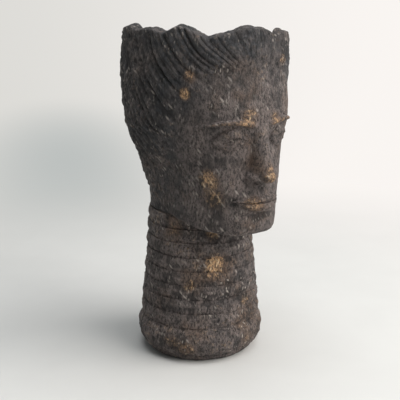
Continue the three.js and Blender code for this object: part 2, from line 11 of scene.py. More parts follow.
import bpy
import numpy as np
from bpy.props import FloatProperty, FloatVectorProperty, IntProperty, PointerProperty
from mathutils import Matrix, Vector


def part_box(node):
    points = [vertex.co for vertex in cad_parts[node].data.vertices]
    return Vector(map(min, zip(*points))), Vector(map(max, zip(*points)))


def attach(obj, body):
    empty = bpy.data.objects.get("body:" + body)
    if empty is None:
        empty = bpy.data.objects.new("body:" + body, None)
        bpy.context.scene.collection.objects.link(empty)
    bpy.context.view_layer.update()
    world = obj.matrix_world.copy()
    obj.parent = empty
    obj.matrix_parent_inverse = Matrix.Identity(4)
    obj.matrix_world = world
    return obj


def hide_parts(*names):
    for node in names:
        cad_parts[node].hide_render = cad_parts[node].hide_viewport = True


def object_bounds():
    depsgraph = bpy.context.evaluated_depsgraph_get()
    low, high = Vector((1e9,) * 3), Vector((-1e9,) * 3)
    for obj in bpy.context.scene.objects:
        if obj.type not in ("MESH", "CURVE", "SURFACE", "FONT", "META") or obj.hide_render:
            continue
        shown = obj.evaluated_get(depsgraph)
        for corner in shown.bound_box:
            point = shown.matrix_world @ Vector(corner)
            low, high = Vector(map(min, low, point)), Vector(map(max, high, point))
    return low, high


bl_info = {
    "name": "Hand-built head vase",
    "version": (1, 0, 0),
    "blender": (4, 5, 0),
    "location": "3D View > Sidebar > Head Vase",
    "description": "A clay head vase with raked hair on a neck of stacked coils",
    "category": "Add Mesh",
}

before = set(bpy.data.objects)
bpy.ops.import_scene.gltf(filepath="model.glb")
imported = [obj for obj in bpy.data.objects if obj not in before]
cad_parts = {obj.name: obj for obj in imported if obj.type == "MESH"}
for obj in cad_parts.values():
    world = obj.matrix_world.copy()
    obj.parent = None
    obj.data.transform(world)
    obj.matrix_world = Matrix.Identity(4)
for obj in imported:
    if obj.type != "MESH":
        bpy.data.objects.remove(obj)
CAD_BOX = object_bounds()

MM = 0.001
BODY = "root"
JOINT_GAP = 0.3 * MM
SIDES = {"left": 1, "right": -1}
COILS = sorted(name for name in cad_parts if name.startswith("neck_coil_"))
BANDS = ("chin_band", "jaw_band", "cheek_band", "crown_band")
LOCKS_A_SIDE = sum(name.startswith("hair_lock_left_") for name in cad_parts)

# Heights and reaches of the head's outlines, from the neck joint up: the first five points follow
# the chin in front and the neck and jaw at the sides, and the rest are the mouth, the nose's base,
# the cheek, the eye, the brow, the forehead, the hairline, the rim and the carried-on surface above
# it.
FRONT_REACH_SHARES = (0, 0.3, 0.66, 0.87, 0.92, 0.93, 0.91, 0.9, 0.92, 0.96, 0.95, 0.86, 0.78, 0.75)
SIDE_REACH_SHARES = (0, -0.02, -0.03, -0.01, 0, 0.02, 0.13, 0.43, 0.77, 0.92, 1, 1, 0.94, 0.91)
BACK_REACH_SHARES = (0, -0.05, -0.11, -0.14, -0.16, -0.16, -0.06, 0.17, 0.48, 0.68, 0.92, 0.96,
                     0.9, 0.87)
FRONT_LOW_DROP_SHARES = (0, 0.5, 0.98, 0.72)
SIDE_LOW_RISE_SHARES = (0, 0.2, 0.45, 0.7)
CHIN_FRONT_SHARE = 0.4
SIDE_CHIN_SHARE = 0.86
MOUTH_THIRD_SHARE = 2 / 3
EYE_THIRD_SHARE = 0.24
CHEEK_THIRD_SHARE = 0.36
LAST_LEVEL = len(FRONT_REACH_SHARES) - 1
RIM_LEVEL = (LAST_LEVEL - 1) / LAST_LEVEL
HAIRLINE_LEVEL = (LAST_LEVEL - 2) / LAST_LEVEL
CHIN_LEVEL = 3 / LAST_LEVEL
INNER_LEVEL = 2 / LAST_LEVEL
FACE_FULLNESS = 2.45
BACK_FULLNESS = 2.05

# The rim's wave, round from the nape: degrees from the face's middle, and shares of the lobe.
RIM_WAVE_ANGLES = (-180, -163, -145, -125, -105, -88, -73, -60, -46, -30, -10,
                   2, 9, 14, 20, 30, 55, 80, 104, 130, 155, 180)
RIM_WAVE_SHARES = (-1.5, -1.9, -0.9, -0.4, 0.85, 0.35, 0.55, 0.15, 0.9, -0.4, 0.7,
                   0.65, 0, -1.4, -0.3, 0.2, -1.4, -1.9, -2.2, -1.3, -2, -1.5)

# Where the edges between locks start: degrees from the face's middle, and shares of chin to rim.
HAIRLINE_ANGLES = (0, 4, 9, 17, 28, 39, 47, 53.5, 60.5, 72, 100, 140, 180)
HAIRLINE_SHARES = (0.82, 0.82, 0.815, 0.8, 0.75, 0.665, 0.56, 0.455, 0.345, 0.235, 0.17, 0.15, 0.14)

# How open the seam is at each edge between locks, from smeared over (0) to cut down (1), and for
# each lock where its two raked grooves lie across it and how deep they are.
SEAM_SHARES = (0.2, 0.25, 0.4, 0.85, 0.7, 1, 0.8, 0.95, 0.75, 0.95, 0.8, 1, 0.75)
GROOVE_PLACE_SHARES = ((0.36, 0.7), (0.3, 0.72), (0.33, 0.64), (0.27, 0.62), (0.35, 0.7),
                       (0.31, 0.66), (0.36, 0.69), (0.3, 0.65), (0.34, 0.7), (0.32, 0.64),
                       (0.36, 0.67), (0.3, 0.66))
GROOVE_DEPTH_SHARES = ((0.25, 0.35), (0.35, 0.9), (0.6, 0.45), (1, 0.7), (0.9, 0.8), (0.7, 0.9),
                       (0.8, 0.6), (0.9, 0.8), (0.6, 0.9), (0.9, 0.7), (0.7, 0.9), (0.9, 0.6))
GROOVE_SHIFT_SHARE = 0.04
SHOULDER_SHARE = 0.8

# How warm the clay's colour is, from the dark clay's (0) to the warm clay's (1). The hair's value
# is also the painted shade behind the cheeks.
NECK_WARMTH = 0.76
FACE_WARMTH = 0.76
HAIR_TONE_AND_SHADE = 0.14

# Places where the dark surface is rubbed through to bronze: the place, its spread and its strength.
RUBBED_PLACES = (
    ((-60.0, -61.5, 269.0), 4.5, 1.5),
    ((-57.0, -66.0, 285.0), 7.0, 0.5),
    ((-18.5, -51.6, 104.0), 6.5, 1.7),
    ((-19.5, -52.0, 96.0), 9.0, 0.75),
    ((-19.0, -49.0, 131.0), 7.0, 0.8),
    ((-39.5, -39.3, 81.0), 8.0, 0.6),
    ((15.0, -57.0, 59.0), 8.0, 0.5),
    ((-41.0, -71.0, 192.0), 8.0, 1.1),
    ((-36.0, -74.0, 174.0), 14.0, 0.45),
    ((-13.5, -98.0, 249.0), 8.0, 0.8),
    ((16.0, -98.0, 247.0), 7.0, 0.5),
    ((-12.0, -101.0, 171.0), 9.0, 0.5),
    ((0.0, -114.0, 197.0), 6.0, 0.5),
    ((32.0, -88.0, 297.0), 6.0, 0.7),
    ((-47.0, -43.0, 16.0), 11.0, 0.5),
    ((-57.0, -29.0, 24.0), 9.0, 0.4),
    ((38.0, -78.0, 182.0), 9.0, 0.6),
    ((62.0, 24.0, 262.0), 10.0, 0.8),
    ((30.0, 66.0, 291.0), 8.0, 0.9),
    ((-34.0, 60.0, 240.0), 10.0, 0.8),
    ((46.0, 34.0, 88.0), 9.0, 0.9),
    ((-20.0, 56.0, 60.0), 10.0, 0.9),
    ((30.0, 54.0, 17.0), 10.0, 0.9),
)


# User settings


class VaseSizes(bpy.types.PropertyGroup):
    """Sizes of the vase that the surfaces are worked from."""

    front_reach: FloatProperty(
        name="Front reach", description="Neck's axis to the front of the face",
        default=99 * MM, unit="LENGTH")
    side_reach: FloatProperty(
        name="Side reach", description="Neck's axis to the side of the head",
        default=70 * MM, unit="LENGTH")
    back_reach: FloatProperty(
        name="Back reach", description="Neck's axis to the back of the head",
        default=74 * MM, unit="LENGTH")
    wall: FloatProperty(
        name="Head wall", description="Thickness of the head's wall",
        default=8 * MM, unit="LENGTH")
    chin_drop: FloatProperty(
        name="Chin drop", description="How far the chin hangs below the neck joint",
        default=12 * MM, unit="LENGTH")
    third: FloatProperty(
        name="Face third", description="Chin to nose base, to brow, to hairline",
        default=51.5 * MM, unit="LENGTH")
    crown_rise: FloatProperty(
        name="Crown rise", description="Hairline to the rim's mean height",
        default=28.5 * MM, unit="LENGTH")
    rim_lobe: FloatProperty(
        name="Rim lobe", description="Rise and fall of the rim",
        default=7 * MM, unit="LENGTH")
    over_rim: FloatProperty(
        name="Over rim", description="How far the surface is carried on above the rim",
        default=20 * MM, unit="LENGTH")
    eye_width: FloatProperty(
        name="Eye width", description="Corner to corner of an eye",
        default=27 * MM, unit="LENGTH")
    eye_opening: FloatProperty(
        name="Eye opening", description="Lid to lid at the eye's middle",
        default=12 * MM, unit="LENGTH")
    nose_width: FloatProperty(
        name="Nose width", description="Across the nose's wings",
        default=31 * MM, unit="LENGTH")
    nose_lift: FloatProperty(
        name="Nose lift", description="How far the nose's tip stands out",
        default=20 * MM, unit="LENGTH")
    mouth_width: FloatProperty(
        name="Mouth width", description="Corner to corner of the mouth",
        default=48 * MM, unit="LENGTH")
    lip_height: FloatProperty(
        name="Lip height", description="Height of the lower lip",
        default=8 * MM, unit="LENGTH")
    lock_thickness: FloatProperty(
        name="Lock thickness", description="How thick a lock of hair lies",
        default=6.5 * MM, unit="LENGTH")
    lock_swell: FloatProperty(
        name="Lock swell", description="From the hairline to a lock's full thickness",
        default=45 * MM, unit="LENGTH")
    lock_edge: FloatProperty(
        name="Lock edge", description="How thick a lock is at a seam cut down",
        default=1.8 * MM, unit="LENGTH")
    groove_depth: FloatProperty(
        name="Groove depth", description="Depth of the deepest groove in the hair",
        default=2.6 * MM, unit="LENGTH")
    rake_depth: FloatProperty(
        name="Rake depth", description="Depth of the comb's fine scratches",
        default=0.75 * MM, unit="LENGTH")
    coil_bulge: FloatProperty(
        name="Coil bulge", description="How far a neck coil stands out of its joints",
        default=2.2 * MM, unit="LENGTH")
    coil_thickness: FloatProperty(
        name="Coil thickness", description="Neck coil, outside to inside",
        default=11 * MM, unit="LENGTH")
    grit: FloatProperty(
        name="Grit", description="Height of the clay's roughness",
        default=0.55 * MM, unit="LENGTH")
    seed: IntProperty(name="Seed", description="Changes the clay's lumps and strokes", default=7)


class ClayColours(bpy.types.PropertyGroup):
    """Colours of the fired clay, of what is rubbed on it and of its painted glints, and of the
    floor and the room's painted light and shade.
    """

    dark: FloatVectorProperty(
        name="Dark clay", description="Clay in the hollows and the hair",
        default=(0.038, 0.040, 0.045), size=3, min=0, max=1, subtype="COLOR")
    warm: FloatVectorProperty(
        name="Warm clay", description="Clay where it fired warmer",
        default=(0.205, 0.166, 0.152), size=3, min=0, max=1, subtype="COLOR")
    brown: FloatVectorProperty(
        name="Brown clay", description="Clay where it fired brown",
        default=(0.150, 0.094, 0.062), size=3, min=0, max=1, subtype="COLOR")
    bronze: FloatVectorProperty(
        name="Bronze", description="Metallic wax rubbed on the high spots",
        default=(0.74, 0.46, 0.24), size=3, min=0, max=1, subtype="COLOR")
    # Bronze on the ridges of strokes, painted brighter as a glint.
    bright: FloatVectorProperty(
        name="Bright bronze", description="The wax on the ridges of scratches",
        default=(1.0, 0.76, 0.48), size=3, min=0, max=1, subtype="COLOR")
    # Pale scratches, and painted glints on the clay's strokes.
    scratch_and_glint: FloatVectorProperty(
        name="Scratches", description="Clay bared by short pale scratches",
        default=(0.50, 0.44, 0.39), size=3, min=0, max=1, subtype="COLOR")
    pit: FloatVectorProperty(
        name="Pits", description="Pits, deep hollows and dark scratches",
        default=(0.013, 0.012, 0.012), size=3, min=0, max=1, subtype="COLOR")
    floor: FloatVectorProperty(
        name="Floor", description="The pale sweep that the vase stands on",
        default=(0.70, 0.695, 0.672), size=3, min=0, max=1, subtype="COLOR")
    # Painted shade: the far sweep is painted darker and cooler on this side.
    room_shaded_side: FloatVectorProperty(
        name="Room left", description="The sweep far off, on the camera's left",
        default=(0.72, 0.71, 0.68), size=3, min=0, max=1, subtype="COLOR")
    # Painted light: the far sweep is painted lighter and warmer on this side.
    room_lit_side: FloatVectorProperty(
        name="Room right", description="The sweep far off, on its right",
        default=(0.95, 0.915, 0.885), size=3, min=0, max=1, subtype="COLOR")
    room_shade: FloatVectorProperty(
        name="Room shade", description="Soft shade far off behind the vase",
        default=(0.40, 0.44, 0.44), size=3, min=0, max=1, subtype="COLOR")


class StudioLight(bpy.types.PropertyGroup):
    """The camera's place and the strength of the lamps."""

    camera_turn: FloatProperty(
        name="Camera turn", description="From the face's front, to the figure's left",
        default=math.radians(-35), subtype="ANGLE")
    camera_tilt: FloatProperty(
        name="Camera tilt", description="How far the camera looks down",
        default=math.radians(14.1), subtype="ANGLE")
    camera_away: FloatProperty(
        name="Camera distance", description="Along the floor from the neck's axis",
        default=0.787, unit="LENGTH")
    camera_height: FloatProperty(
        name="Camera height", description="Above the floor",
        default=0.350, unit="LENGTH")
    lens: FloatProperty(name="Lens", description="Focal length on a 36 mm sensor", default=72)
    key: FloatProperty(
        name="Key lamp", description="Power of the large soft lamp on the right",
        default=48, unit="POWER")
    top: FloatProperty(
        name="Top lamp", description="Power of the soft lamp overhead",
        default=20, unit="POWER")
    fill: FloatProperty(name="Fill", description="Strength of the room's own light", default=0.15)


# Small mathematics


TABLE_STEPS = 200


def lerp(a, b, share):
    return a + (b - a) * share


def smoothstep(value, low, high):
    share = np.clip((value - low) / (high - low), 0, 1)
    return share * share * (3 - 2 * share)


def arch(share):
    return np.sin(np.pi * np.clip(share, 0, 1))


def blunt_arch(share, cut):
    """An arch without its thin ends: cut is the share of it that each end loses."""
    return np.sqrt(np.maximum(arch(lerp(cut, 1 - cut, share)), 0))


def past_ends(share, low, high):
    """How far a share lies outside low to high."""
    return np.maximum(np.maximum(low - share, share - high), 0)


def fade(away, reach):
    """From 1 where nothing is away, softly down to 0 past the reach."""
    return np.exp(-((away / reach) ** 2))


def spline(points, share):
    """A uniform Catmull-Rom curve through points, read at shares of its length in points."""
    points = np.asarray(points, float)
    last = len(points) - 1
    place = np.clip(share, 0, 1) * last
    start = np.minimum(np.floor(place).astype(int), last - 1)
    part = place - start
    if points.ndim > 1:
        part = part[..., None]
    p0, p1, p2, p3 = (points[np.clip(start + i, 0, last)] for i in (-1, 0, 1, 2))
    pull0, pull1 = (p2 - p0) / 2, (p3 - p1) / 2
    cubic = 2 * p1 - 2 * p2 + pull0 + pull1
    square = -3 * p1 + 3 * p2 - 2 * pull0 - pull1
    return ((cubic * part + square) * part + pull0) * part + p1


def smooth_table(places, values, at):
    """Values between named places, with soft bends."""
    steps = np.linspace(0, 1, TABLE_STEPS)
    return np.interp(at, spline(places, steps), spline(values, steps))


def soft_union(heights, softness):
    """The highest of several height fields, with their joins filled in softly."""
    return softness * np.logaddexp.reduce(np.stack(heights) / softness)


def settled(height, fillet, sink):
    """A height field that runs out softly into the wall and ends a little under it."""
    return fillet * np.logaddexp(0, height / fillet) - sink


def bump(x, z, middle, spread, lift):
    """A round form on the face that falls below the wall outside its spread."""
    return lift * (1 - ((x - middle[0]) / spread[0]) ** 2 - ((z - middle[1]) / spread[1]) ** 2)


def spot(x, z, middle, spread):
    """A soft round spot on the face, from 1 at its middle out to 0."""
    return np.exp(-(((x - middle[0]) / spread[0]) ** 2) - ((z - middle[1]) / spread[1]) ** 2)


class Noise:
    """Soft seeded noise between -1 and 1, from random values on a wrapped lattice."""

    CELLS = 24

    def __init__(self, seed):
        self.values = np.random.default_rng(seed).uniform(-1, 1, (self.CELLS,) * 3)

    def __call__(self, points, size):
        cell = points / np.asarray(size)
        low = np.floor(cell).astype(int)
        part = cell - low
        part = part * part * (3 - 2 * part)
        total = 0
        for corner in itertools.product((0, 1), repeat=3):
            weight = np.prod(np.where(corner, part, 1 - part), axis=-1)
            place = (low + corner) % self.CELLS
            total = total + weight * self.values[place[..., 0], place[..., 1], place[..., 2]]
        return total


# The head's form


class HeadForm:
    """The head's outer surface, by angle round from the face's middle and by level, from 0 at the
    neck joint to 1 a little above the rim."""

    SLOPE_STEP = 1e-3
    WAVE_STEPS = 121
    HALVINGS = 24

    # How far the broad forms under the features stand out of the plain wall.
    SOCKET_LIFT = -6.5 * MM
    CHEEK_LIFT = 3 * MM
    MUZZLE_LIFT = 3.5 * MM
    CHIN_LIFT = 4 * MM

    # Where the face's warm clay ends: heights over the hairline, degrees behind the cheek, and how
    # much of the warmth is gone there. The darkening behind the cheek is painted shade.
    HAIRLINE_BLEND = (-26 * MM, 30 * MM)
    CHEEK_TURNS = (38, 62)
    BEHIND_CHEEK_SHADE = 0.9

    def __init__(self, sizes):
        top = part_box(COILS[-1])[1]
        self.sizes = sizes
        self.joint_radius = top.x - sizes.coil_bulge
        self.bore_radius = top.x - sizes.coil_thickness
        self.base_z = top.z + JOINT_GAP
        self.chin_z = self.base_z - sizes.chin_drop
        self.nose_z = self.chin_z + sizes.third
        self.brow_z = self.nose_z + sizes.third
        self.hairline_z = self.brow_z + sizes.third
        self.rim_z = self.hairline_z + sizes.crown_rise
        self.mouth_z = self.chin_z + sizes.third * MOUTH_THIRD_SHARE
        self.eye_z = self.brow_z - sizes.third * EYE_THIRD_SHARE
        cheek_z = self.nose_z + sizes.third * CHEEK_THIRD_SHARE
        upper = (self.mouth_z, self.nose_z, cheek_z, self.eye_z, self.brow_z,
                 self.brow_z + sizes.third / 2, self.hairline_z, self.rim_z,
                 self.rim_z + sizes.over_rim)
        front_z = [self.base_z - sizes.chin_drop * share for share in FRONT_LOW_DROP_SHARES]
        front_z += [lerp(self.chin_z, self.mouth_z, CHIN_FRONT_SHARE), *upper]
        side_z = [lerp(self.base_z, self.mouth_z, share) for share in SIDE_LOW_RISE_SHARES]
        side_z += [lerp(self.base_z, self.mouth_z, SIDE_CHIN_SHARE), *upper]
        self.front = self.outline(sizes.front_reach, FRONT_REACH_SHARES, front_z)
        self.side = self.outline(sizes.side_reach, SIDE_REACH_SHARES, side_z)
        self.back = self.outline(sizes.back_reach, BACK_REACH_SHARES, side_z)
        steps = np.linspace(0, 1, self.WAVE_STEPS)
        self.wave_angles = spline(np.radians(RIM_WAVE_ANGLES), steps)
        self.wave_heights = spline(RIM_WAVE_SHARES, steps) * sizes.rim_lobe
        self.forms = self.broad_forms()

    def outline(self, reach, shares, heights):
        """An outline's points: how far each is from the neck's axis, and its height."""
        return np.stack([lerp(self.joint_radius, reach, np.array(shares, float)), heights], axis=1)

    def broad_forms(self):
        """The forms under the features: the middle, the half sizes and the lift of each."""
        sizes = self.sizes
        eye, opening, lip = sizes.eye_width, sizes.eye_opening, sizes.lip_height
        mouth, nose = sizes.mouth_width, sizes.nose_width
        forms = [
            ((0, self.mouth_z), (mouth * 0.45, lip * 1.6), self.MUZZLE_LIFT),
            ((0, self.chin_z + lip * 1.5), (nose * 0.5, lip), self.CHIN_LIFT),
        ]
        for side in SIDES.values():
            cheek_x = side * (mouth * 0.8)
            forms += [
                ((side * eye, self.eye_z), (eye * 0.5, opening * 0.8), self.SOCKET_LIFT),
                ((cheek_x, self.nose_z), (eye * 0.55, opening), self.CHEEK_LIFT),
            ]
        return forms

    def relief(self, x, z):
        """How far the broad forms stand out of the wall."""
        return sum(lift * spot(x, z, middle, spread) for middle, spread, lift in self.forms)

    def surface(self, angle, level):
        """Points of the head's surface."""
        front, side, back = (spline(curve, level) for curve in (self.front, self.side, self.back))
        across, along = np.sin(angle), np.cos(angle)
        facing = along > 0
        reach = np.where(facing, front[..., 0], back[..., 0])
        fullness = np.where(facing, lerp(FACE_FULLNESS, BACK_FULLNESS, level**2), BACK_FULLNESS)
        far = np.abs(across / side[..., 0]) ** fullness + np.abs(along / reach) ** fullness
        radius = far ** (-1 / fullness)
        turn = np.mod(angle + np.pi, 2 * np.pi) - np.pi
        wave = np.interp(turn, self.wave_angles, self.wave_heights)
        z = lerp(side[..., 1], front[..., 1], np.maximum(along, 0))
        z = z + wave * smoothstep(level, HAIRLINE_LEVEL, RIM_LEVEL)
        x = radius * across
        pushed = np.where(facing, self.relief(x, z), 0)
        return np.stack([x, -radius * along - pushed, z], axis=-1)

    def normal(self, angle, level):
        """The way out from the surface, from its slope there."""
        step = self.SLOPE_STEP
        above, below = np.minimum(level + step, 1), np.maximum(level - step, 0)
        up = self.surface(angle, above) - self.surface(angle, below)
        sideways = self.surface(angle + step, level) - self.surface(angle - step, level)
        normal = np.cross(sideways, up)
        return normal / np.linalg.norm(normal, axis=-1, keepdims=True)

    def lifted(self, angle, level, lift):
        """Points that stand out of the surface by lift."""
        angle, level, lift = np.broadcast_arrays(angle, level, lift)
        return self.surface(angle, level) + self.normal(angle, level) * lift[..., None]

    def tone_and_shade(self, points):
        """How warm the clay's colour is: the face most, and less up into the hair and behind the
        cheeks, where the darkening is painted shade.
        """
        turn = np.abs(np.degrees(np.arctan2(points[..., 0], -points[..., 1])))
        hairline = lerp(self.chin_z, self.rim_z, np.interp(turn, HAIRLINE_ANGLES, HAIRLINE_SHARES))
        into_hair = smoothstep(points[..., 2] - hairline, *self.HAIRLINE_BLEND)
        behind = self.BEHIND_CHEEK_SHADE * smoothstep(turn, *self.CHEEK_TURNS)
        return lerp(FACE_WARMTH, HAIR_TONE_AND_SHADE, np.maximum(into_hair, behind))

    def level_at(self, angle, z):
        """The level at which the surface is at height z, above the chin."""
        low, high = np.full(np.shape(z), CHIN_LEVEL), np.ones(np.shape(z))
        for _ in range(self.HALVINGS):
            middle = (low + high) / 2
            under = self.surface(angle, middle)[..., 2] < z
            low, high = np.where(under, middle, low), np.where(under, high, middle)
        return (low + high) / 2


# The clay's surface


class Clay:
    """Lumps, grit, pits and strokes of the clay, the same at the same place on every piece."""

    # The size of each kind of roughness, its height as a share of the grit, and what starts it.
    LUMP_SIZE = 19 * MM
    FINGER_SIZE, FINGER_SHARE = 7 * MM, 0.7
    GRAIN_SIZE, GRAIN_SHARE = 2.6 * MM, 0.45
    STROKE_SIZE, STROKE_SHARE = np.array((1.9, 1.9, 5)) * MM, 0.4
    CRUMB_SIZE, CRUMB_SHARE, CRUMB_START = 3.1 * MM, 1.5, 0.55
    PIT_SIZE, PIT_SHARE, PIT_START = 3.7 * MM, 2.0, 0.6

    def __init__(self, sizes):
        self.sizes = sizes
        self.noises = [Noise(sizes.seed * 10 + i) for i in range(6)]

    def relief(self, points, lumps=1.0, rough=1.0):
        """How far the clay stands out at points, in metres. Lumps weighs the broad swells, and
        rough the finger-sized and finer ones."""
        lump, finger, grain, crumb, pit, stroke = self.noises
        height = lumps * lump(points, self.LUMP_SIZE)
        height += rough * self.FINGER_SHARE * finger(points, self.FINGER_SIZE)
        height += rough * self.GRAIN_SHARE * grain(points, self.GRAIN_SIZE)
        height += rough * self.STROKE_SHARE * stroke(points, self.STROKE_SIZE)
        crumbs, pits = crumb(points, self.CRUMB_SIZE), pit(points, self.PIT_SIZE)
        height += self.CRUMB_SHARE * np.maximum(crumbs - self.CRUMB_START, 0)
        height -= self.PIT_SHARE * np.maximum(pits - self.PIT_START, 0)
        return height * self.sizes.grit

    def worn(self, points):
        """How far the place is rubbed through to bronze, from 0."""
        total = np.zeros(points.shape[:-1])
        for place, spread, strength in RUBBED_PLACES:
            away = np.linalg.norm(points - np.array(place) * MM, axis=-1)
            total += strength * fade(away, spread * MM)
        return total


# Meshes


def grid_faces(rows, columns, wrap=False):
    """Four-cornered faces of a grid of points, row after row."""
    across = columns if wrap else columns - 1
    row, column = np.meshgrid(np.arange(rows - 1), np.arange(across), indexing="ij")
    here = row * columns + column
    beside = row * columns + (column + 1) % columns
    return np.stack([here, beside, beside + columns, here + columns], axis=-1).reshape(-1, 4)


def ring_faces(rows, columns):
    """Faces of a grid that closes on itself both ways."""
    faces = grid_faces(rows + 1, columns, wrap=True)
    return faces % (rows * columns)


def make_piece(name, points, face_groups, material, nodes, relief, worn, tone_and_shade):
    """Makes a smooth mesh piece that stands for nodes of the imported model."""
    points = np.asarray(points, float).reshape(-1, 3)
    groups = [np.atleast_2d(group) for group in face_groups]
    corners = np.concatenate([group.ravel() for group in groups])
    sizes = np.concatenate([np.full(len(group), group.shape[1]) for group in groups])
    mesh = bpy.data.meshes.new(name)
    mesh.vertices.add(len(points))
    mesh.vertices.foreach_set("co", points.ravel())
    mesh.loops.add(len(corners))
    mesh.loops.foreach_set("vertex_index", corners)
    mesh.polygons.add(len(sizes))
    mesh.polygons.foreach_set("loop_start", np.cumsum(sizes) - sizes)
    mesh.update(calc_edges=True)
    if mesh.validate():
        raise RuntimeError(f"{name} has faces that don't hold together")
    mesh.shade_smooth()
    for key, values in (("relief", relief), ("worn", worn), ("tone_and_shade", tone_and_shade)):
        layer = mesh.attributes.new(key, "FLOAT", "POINT")
        values = np.broadcast_to(np.ravel(values), len(points)).astype(np.float32)
        layer.data.foreach_set("value", values)
    mesh.materials.append(material)
    piece = bpy.data.objects.new(name, mesh)
    bpy.context.scene.collection.objects.link(piece)
    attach(piece, BODY)
    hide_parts(*nodes)


def pillow(top, keep, depth):
    """Closes the kept cells of a grid of points with side faces and a copy set in by depth.

    Returns the points, the faces and the grid's place of each point.
    """
    rows, columns = keep.shape[0] + 1, keep.shape[1] + 1
    faces = grid_faces(rows, columns)[keep.ravel()]
    used, numbered = np.unique(faces, return_inverse=True)
    faces = numbered.reshape(-1, 4)
    outer = top.reshape(-1, 3)[used]
    inner = outer + depth.reshape(-1, 3)[used]
    edges = np.stack([faces, np.roll(faces, -1, axis=1)], axis=-1).reshape(-1, 2)
    keys = np.sort(edges, axis=1)
    _, first, counts = np.unique(keys, axis=0, return_index=True, return_counts=True)
    rim = edges[first[counts == 1]]
    count = len(used)
    sides = np.stack([rim[:, 1], rim[:, 0], rim[:, 0] + count, rim[:, 1] + count], axis=1)
    return np.concatenate([outer, inner]), [faces, faces[:, ::-1] + count, sides], used


# Materials


def join(tree, socket, value):
    """Links a socket to another node's output, or sets it where value is a number or colour."""
    if isinstance(value, bpy.types.NodeSocket):
        tree.links.new(value, socket)
    else:
        socket.default_value = value


def noise_node(tree, coordinates, scale, detail=4.0, roughness=0.55):
    node = tree.nodes.new("ShaderNodeTexNoise")
    tree.links.new(coordinates, node.inputs["Vector"])
    node.inputs["Scale"].default_value = scale
    node.inputs["Detail"].default_value = detail
    node.inputs["Roughness"].default_value = roughness
    return node.outputs["Fac"]


def placed(tree, vector, scale, rotation, location=(0, 0, 0)):
    """Coordinates as they are in a frame of this place, turn and size."""
    node = tree.nodes.new("ShaderNodeMapping")
    node.vector_type = "TEXTURE"
    tree.links.new(vector, node.inputs["Vector"])
    for key, value in (("Location", location), ("Rotation", rotation), ("Scale", scale)):
        node.inputs[key].default_value = value
    return node.outputs["Vector"]


def strokes(tree, place, length, lean, scale):
    """Short straight marks, one in some of the cells of a cellular noise, from 0 to 1. They are
    length times as long as they are wide, and lean over by lean degrees."""
    lean = math.radians(lean)
    node = tree.nodes.new("ShaderNodeTexVoronoi")
    tree.links.new(placed(tree, place, (1, 1, length), (lean, lean, 0)), node.inputs["Vector"])
    node.inputs["Scale"].default_value = scale
    chance = ranged(tree, node.outputs["Color"], 0.32, 0.8)
    mark = ranged(tree, node.outputs["Distance"], 0.1, 0.38, 1.0, 0.0)
    return math_node(tree, "MULTIPLY", mark, chance)


def attribute(tree, name):
    node = tree.nodes.new("ShaderNodeAttribute")
    node.attribute_name = name
    return node.outputs["Fac"]


def ranged(tree, value, low, high, to_low=0.0, to_high=1.0):
    """A value that goes softly from to_low to to_high while another goes from low to high."""
    node = tree.nodes.new("ShaderNodeMapRange")
    node.interpolation_type = "SMOOTHSTEP"
    for socket, number in zip(node.inputs, (value, low, high, to_low, to_high)):
        join(tree, socket, number)
    return node.outputs["Result"]


def math_node(tree, operation, a, b, c=0.0, clamp=False):
    node = tree.nodes.new("ShaderNodeMath")
    node.operation = operation
    node.use_clamp = clamp
    for socket, value in zip(node.inputs, (a, b, c)):
        join(tree, socket, value)
    return node.outputs[0]


def vector_node(tree, operation, vector, other=(0, 0, 0)):
    """A number from a vector, such as its length."""
    node = tree.nodes.new("ShaderNodeVectorMath")
    node.operation = operation
    tree.links.new(vector, node.inputs[0])
    node.inputs[1].default_value = other
    return node.outputs["Value"]


def seen_directly(tree):
    """1 where the camera sees a thing itself, in a mirror or through glass."""
    rays = tree.nodes.new("ShaderNodeLightPath").outputs
    seen = math_node(tree, "ADD", rays["Is Camera Ray"], rays["Is Glossy Ray"])
    return math_node(tree, "ADD", seen, rays["Is Transmission Ray"], clamp=True)


def mixed(tree, factor, a, b):
    """Colour a where the factor is 0, and colour b where it is 1."""
    node = tree.nodes.new("ShaderNodeMix")
    node.data_type = "RGBA"
    for index, value in ((0, factor), (6, a), (7, b)):
        colour = index > 0 and not isinstance(value, bpy.types.NodeSocket)
        join(tree, node.inputs[index], (*value, 1) if colour else value)
    return node.outputs[2]


def worked_in(tree, height, distance, strength, normal=None):
    """The surface's normal with a height worked into it, which is distance high at 1."""
    node = tree.nodes.new("ShaderNodeBump")
    node.inputs["Strength"].default_value = strength
    node.inputs["Distance"].default_value = distance
    tree.links.new(height, node.inputs["Height"])
    if normal:
        tree.links.new(normal, node.inputs["Normal"])
    return node.outputs["Normal"]


CLAY_SPECULAR = 0.42
GRAIN_BUMP = 2.5 * MM
GRAIN_BUMP_STROKES = 0.35
DUST_BUMP = 0.35 * MM
STROKE_GLOSS = 0.25


